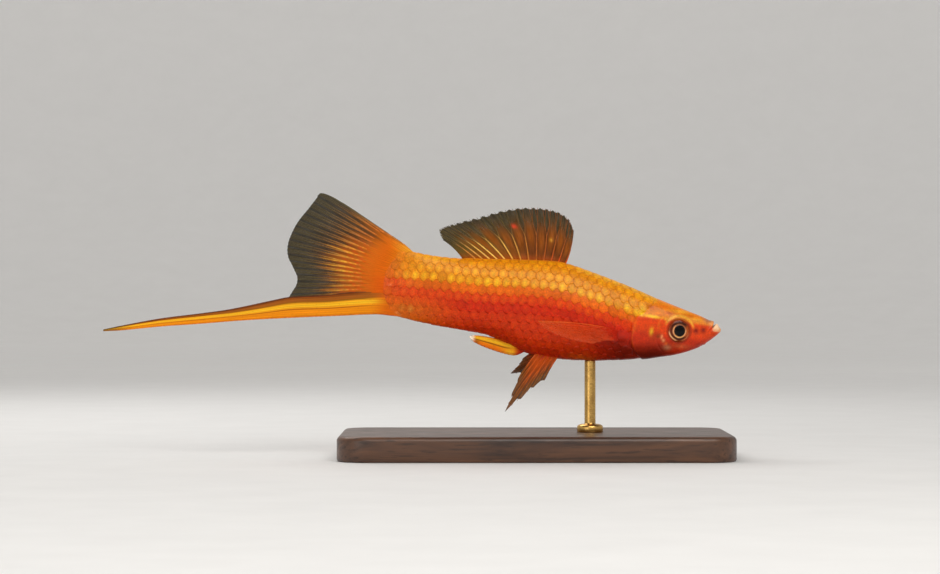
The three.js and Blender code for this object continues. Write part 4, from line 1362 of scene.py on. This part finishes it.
def eye_colours(r, angle):
    """Pupil, peach ring that dims above, dark iris, and a peach crescent low behind."""
    ahead, above = np.cos(angle), np.sin(angle)
    low = smoothstep(0.72, 0.95, np.cos(angle - math.radians(226)))
    corner = smoothstep(0.75, 0.97, np.cos(angle - math.radians(-38)))
    ring = hump(r - 1.27, 0.13) * (0.95 - 0.72 * smoothstep(0.2, 0.85, above + 0.2 * ahead))
    return shaded(
        r.shape, srgb(92, 36, 16),
        (srgb(146, 52, 14), 0.85 * smoothstep(1.75, 2.15, r)),
        (srgb(56, 22, 12), 0.85 * smoothstep(-0.1, 0.7, above) * hump(r - 1.62, 0.26)),
        (srgb(52, 18, 6), 0.8 * smoothstep(-0.5, -0.95, above) * hump(r - 1.62, 0.2)),
        (srgb(192, 86, 30), 0.8 * smoothstep(0.6, 0.97, ahead) * hump(r - 1.65, 0.3)),
        (srgb(250, 190, 132), 0.95 * low * hump(r - 2.0 - 0.1 * (above + 0.7), 0.12)),
        (srgb(216, 112, 60), 0.6 * corner * hump(r - 2.0, 0.16)),
        (srgb(240, 166, 110), ring),
        (srgb(255, 206, 112), 0.4 * ring * smoothstep(-0.5, -0.95, above)),
        (PUPIL, smoothstep(1.14, 1.06, r)),
    )


def make_eye(side):
    dome = np.linspace(0.04, EYE_RADIUS, 52)
    radii = np.append(dome, EYE_BACK_RADII)
    heights = np.append(eye_height(dome), EYE_BACK_HEIGHTS)
    r, angle = np.meshgrid(radii, np.arange(EYE_SIDES) * 2 * math.pi / EYE_SIDES, indexing="ij")
    out = heights[:, None]
    seat = float(flank_at(EYE_S, EYE_Z)) - 0.15
    ahead = r * np.cos(angle)
    s = EYE_S - (ahead * math.cos(EYE_TOE) + out * math.sin(EYE_TOE))
    y = side * (seat + out * math.cos(EYE_TOE) - ahead * math.sin(EYE_TOE))
    grid = np.stack([s, y, EYE_Z + r * np.sin(angle)], -1)
    tints = np.concatenate([eye_colours(r, angle).reshape(-1, 3), [PUPIL, PUPIL]])
    word = "left" if side > 0 else "right"
    return keep(closed_form(f"eyeball_{word}", grid, eye_surface, tints, side > 0), "eye", f"eye_{word}")


# Stand.
BASE_LENGTH, BASE_WIDTH, BASE_THICK, BASE_CORNER = 78.0, 42.0, 5.0, 6.0
ROD_X, ROD_RADIUS, COLLAR_RADIUS, COLLAR_HEIGHT = 11.0, 1.1, 2.6, 1.6


def rounded_outline(inset, steps=14):
    r = BASE_CORNER - inset
    x, y = BASE_LENGTH / 2 - BASE_CORNER, BASE_WIDTH / 2 - BASE_CORNER
    points = []
    for cx, cy, start in ((x, y, 0), (-x, y, 90), (-x, -y, 180), (x, -y, 270)):
        for i in range(steps + 1):
            angle = math.radians(start + 90 * i / steps)
            points.append([cx + r * math.cos(angle), cy + r * math.sin(angle)])
    return np.array(points)


def turned_rings(profile, around, middle_x=0.0):
    """Rings round an upright axis, one for each radius and height of a profile."""
    turn = np.arange(around) * 2 * math.pi / around
    radius, height = np.array(profile, float).T[..., None]
    rings = np.broadcast_arrays(middle_x + radius * np.cos(turn), radius * np.sin(turn), height)
    return np.stack(rings, -1)


def make_base():
    turn = np.radians(np.linspace(0, 90, 7))
    profile = [(0.5, 0.0), (0.15, 0.12), (0.0, 0.5)]
    profile += [(1.0 - math.cos(a), BASE_THICK - 1.0 + math.sin(a)) for a in turn]
    rings = [np.column_stack([rounded_outline(inset), np.full(60, z)]) for inset, z in profile]
    vertices = np.concatenate(rings)
    quads, _, _ = closed_tube_faces(len(rings), 60)
    faces = quads.tolist()
    faces.append(list(range(59, -1, -1)))
    faces.append([60 * (len(rings) - 1) + k for k in range(60)])
    base = mesh_object("stand_base_wood", vertices, faces, walnut_material(), fish=False)
    flatten_caps(base)
    return keep(base, "stand_wood", "stand_base")


def flatten_caps(obj):
    """Many-sided end faces are shaded flat, so that the rounded edge next to them stays crisp."""
    for polygon in obj.data.polygons:
        if len(polygon.vertices) > 4:
            polygon.use_smooth = False


def belly_above(x):
    s = np.arange(5, 60, 0.02)
    low = to_world(np.stack([s, np.zeros_like(s), belly_line(s)], 1)) / MM
    return float(np.interp(x, low[::-1, 0], low[::-1, 2]))


def make_rod():
    foot, top = BASE_THICK, belly_above(ROD_X) + 0.25
    collar = foot + COLLAR_HEIGHT
    profile = [
        (COLLAR_RADIUS - 0.1, foot), (COLLAR_RADIUS, foot + 0.1), (COLLAR_RADIUS, collar - 0.55),
        (COLLAR_RADIUS - 0.12, collar - 0.3), (COLLAR_RADIUS - 0.4, collar - 0.1),
        (COLLAR_RADIUS - 0.7, collar), (ROD_RADIUS + 0.25, collar), (ROD_RADIUS + 0.06, collar + 0.08),
        (ROD_RADIUS, collar + 0.3), (ROD_RADIUS, top - 0.4), (ROD_RADIUS - 0.1, top - 0.12),
        (ROD_RADIUS - 0.3, top),
    ]
    rod = closed_form("stand_rod_brass", turned_rings(profile, 48, ROD_X), brass_material(), fish=False)
    return keep(rod, "stand_brass", "stand_rod")


eye_surface = eye_material()
make_skin()
for side in (1, -1):
    make_scales(side)
    make_eye(side)
    make_pectoral(side)
make_dorsal()
make_fan()
make_sword()
make_anal()
for word in PELVIC_FINS:
    make_pelvic(word)
make_base()
make_rod()


# Floor, light and camera.
def paper_material():
    """Pale paper with a faint grain. Far from the part it glows a little, like a lit backdrop."""
    material, tree, shader = new_material("pale_paper")
    place = object_place(tree)
    grain = wandering(tree, 0.74, 0.77, 60, 3)
    paper = add_node(tree, "ShaderNodeCombineColor", {"Red": grain, "Green": grain, "Blue": grain})
    away = add_node(tree, "ShaderNodeVectorMath", {0: place}, operation="LENGTH").outputs["Value"]
    fill_inputs(tree, shader, {
        "Base Color": paper.outputs[0],
        "Emission Color": (1.0, 0.97, 0.93, 1),
        "Emission Strength": spread_to(tree, away, *GLOW),
        "Roughness": 0.85,
    })
    return material


FLOOR_RADIUS, FLOOR_BEND, FLOOR_HEIGHT = 1150.0, 400.0, 1500.0
GLOW = (0.1, 0.65, 0.0, 0.22)


def make_floor():
    """A round pale floor whose rim curves up into a plain backdrop on every side."""
    bend = np.radians(np.linspace(0, 90, 19))
    profile = [(radius, 0.0) for radius in (60, 250, 500, 800)]
    profile += [(FLOOR_RADIUS + FLOOR_BEND * math.sin(a), FLOOR_BEND * (1 - math.cos(a))) for a in bend]
    profile.append((FLOOR_RADIUS + FLOOR_BEND, FLOOR_HEIGHT))
    grid = turned_rings(profile, 120)
    quads, nose, _ = closed_tube_faces(*grid.shape[:2])
    vertices = with_hubs(grid)[:-1]
    floor = mesh_object("floor", vertices, quads.tolist() + nose.tolist(), paper_material(), fish=False)


def area_light(name, place, target, size, power, colour):
    data = bpy.data.lights.new(name, "AREA")
    data.shape = "RECTANGLE"
    data.size, data.size_y = size
    data.energy = power
    data.color = colour
    light = bpy.data.objects.new(name, data)
    light.location = Vector(place) * MM
    aim = Vector(target) * MM - light.location
    light.rotation_euler = aim.to_track_quat("-Z", "Y").to_euler()
    bpy.context.scene.collection.objects.link(light)


def make_light():
    middle = (-10, 0, 30)
    area_light("key", (120, -360, 400), middle, (0.4, 0.3), 1.75, (1.0, 0.97, 0.92))
    area_light("fill", (-330, -520, 70), middle, (0.4, 0.4), 0.62, (1.0, 0.98, 0.96))
    area_light("rim", (-160, 190, 330), middle, (0.3, 0.2), 0.8, (1.0, 0.98, 0.95))
    world = bpy.data.worlds.new("soft_room")
    world.use_nodes = True
    background = world.node_tree.nodes["Background"]
    background.inputs["Color"].default_value = (1.0, 0.98, 0.95, 1)
    background.inputs["Strength"].default_value = 0.1
    bpy.context.scene.world = world


# The photograph's frame: its middle lies here, and it is this wide at the fish.
FRAME_X, FRAME_Z, FRAME_WIDTH, CAMERA_BACK = -13.0, 34.0, 188.0, 600.0
SENSOR_WIDTH = 36.0


def make_camera():
    data = bpy.data.cameras.new("camera")
    data.sensor_width = SENSOR_WIDTH
    data.lens = SENSOR_WIDTH * CAMERA_BACK / FRAME_WIDTH
    data.clip_end = 10
    camera = bpy.data.objects.new("camera", data)
    camera.location = Vector((FRAME_X, -CAMERA_BACK, FRAME_Z)) * MM
    camera.rotation_euler = (math.pi / 2, 0, 0)
    bpy.context.scene.collection.objects.link(camera)
    bpy.context.scene.camera = camera


make_floor()
make_light()
make_camera()
bpy.context.scene.view_settings.view_transform = "Standard"
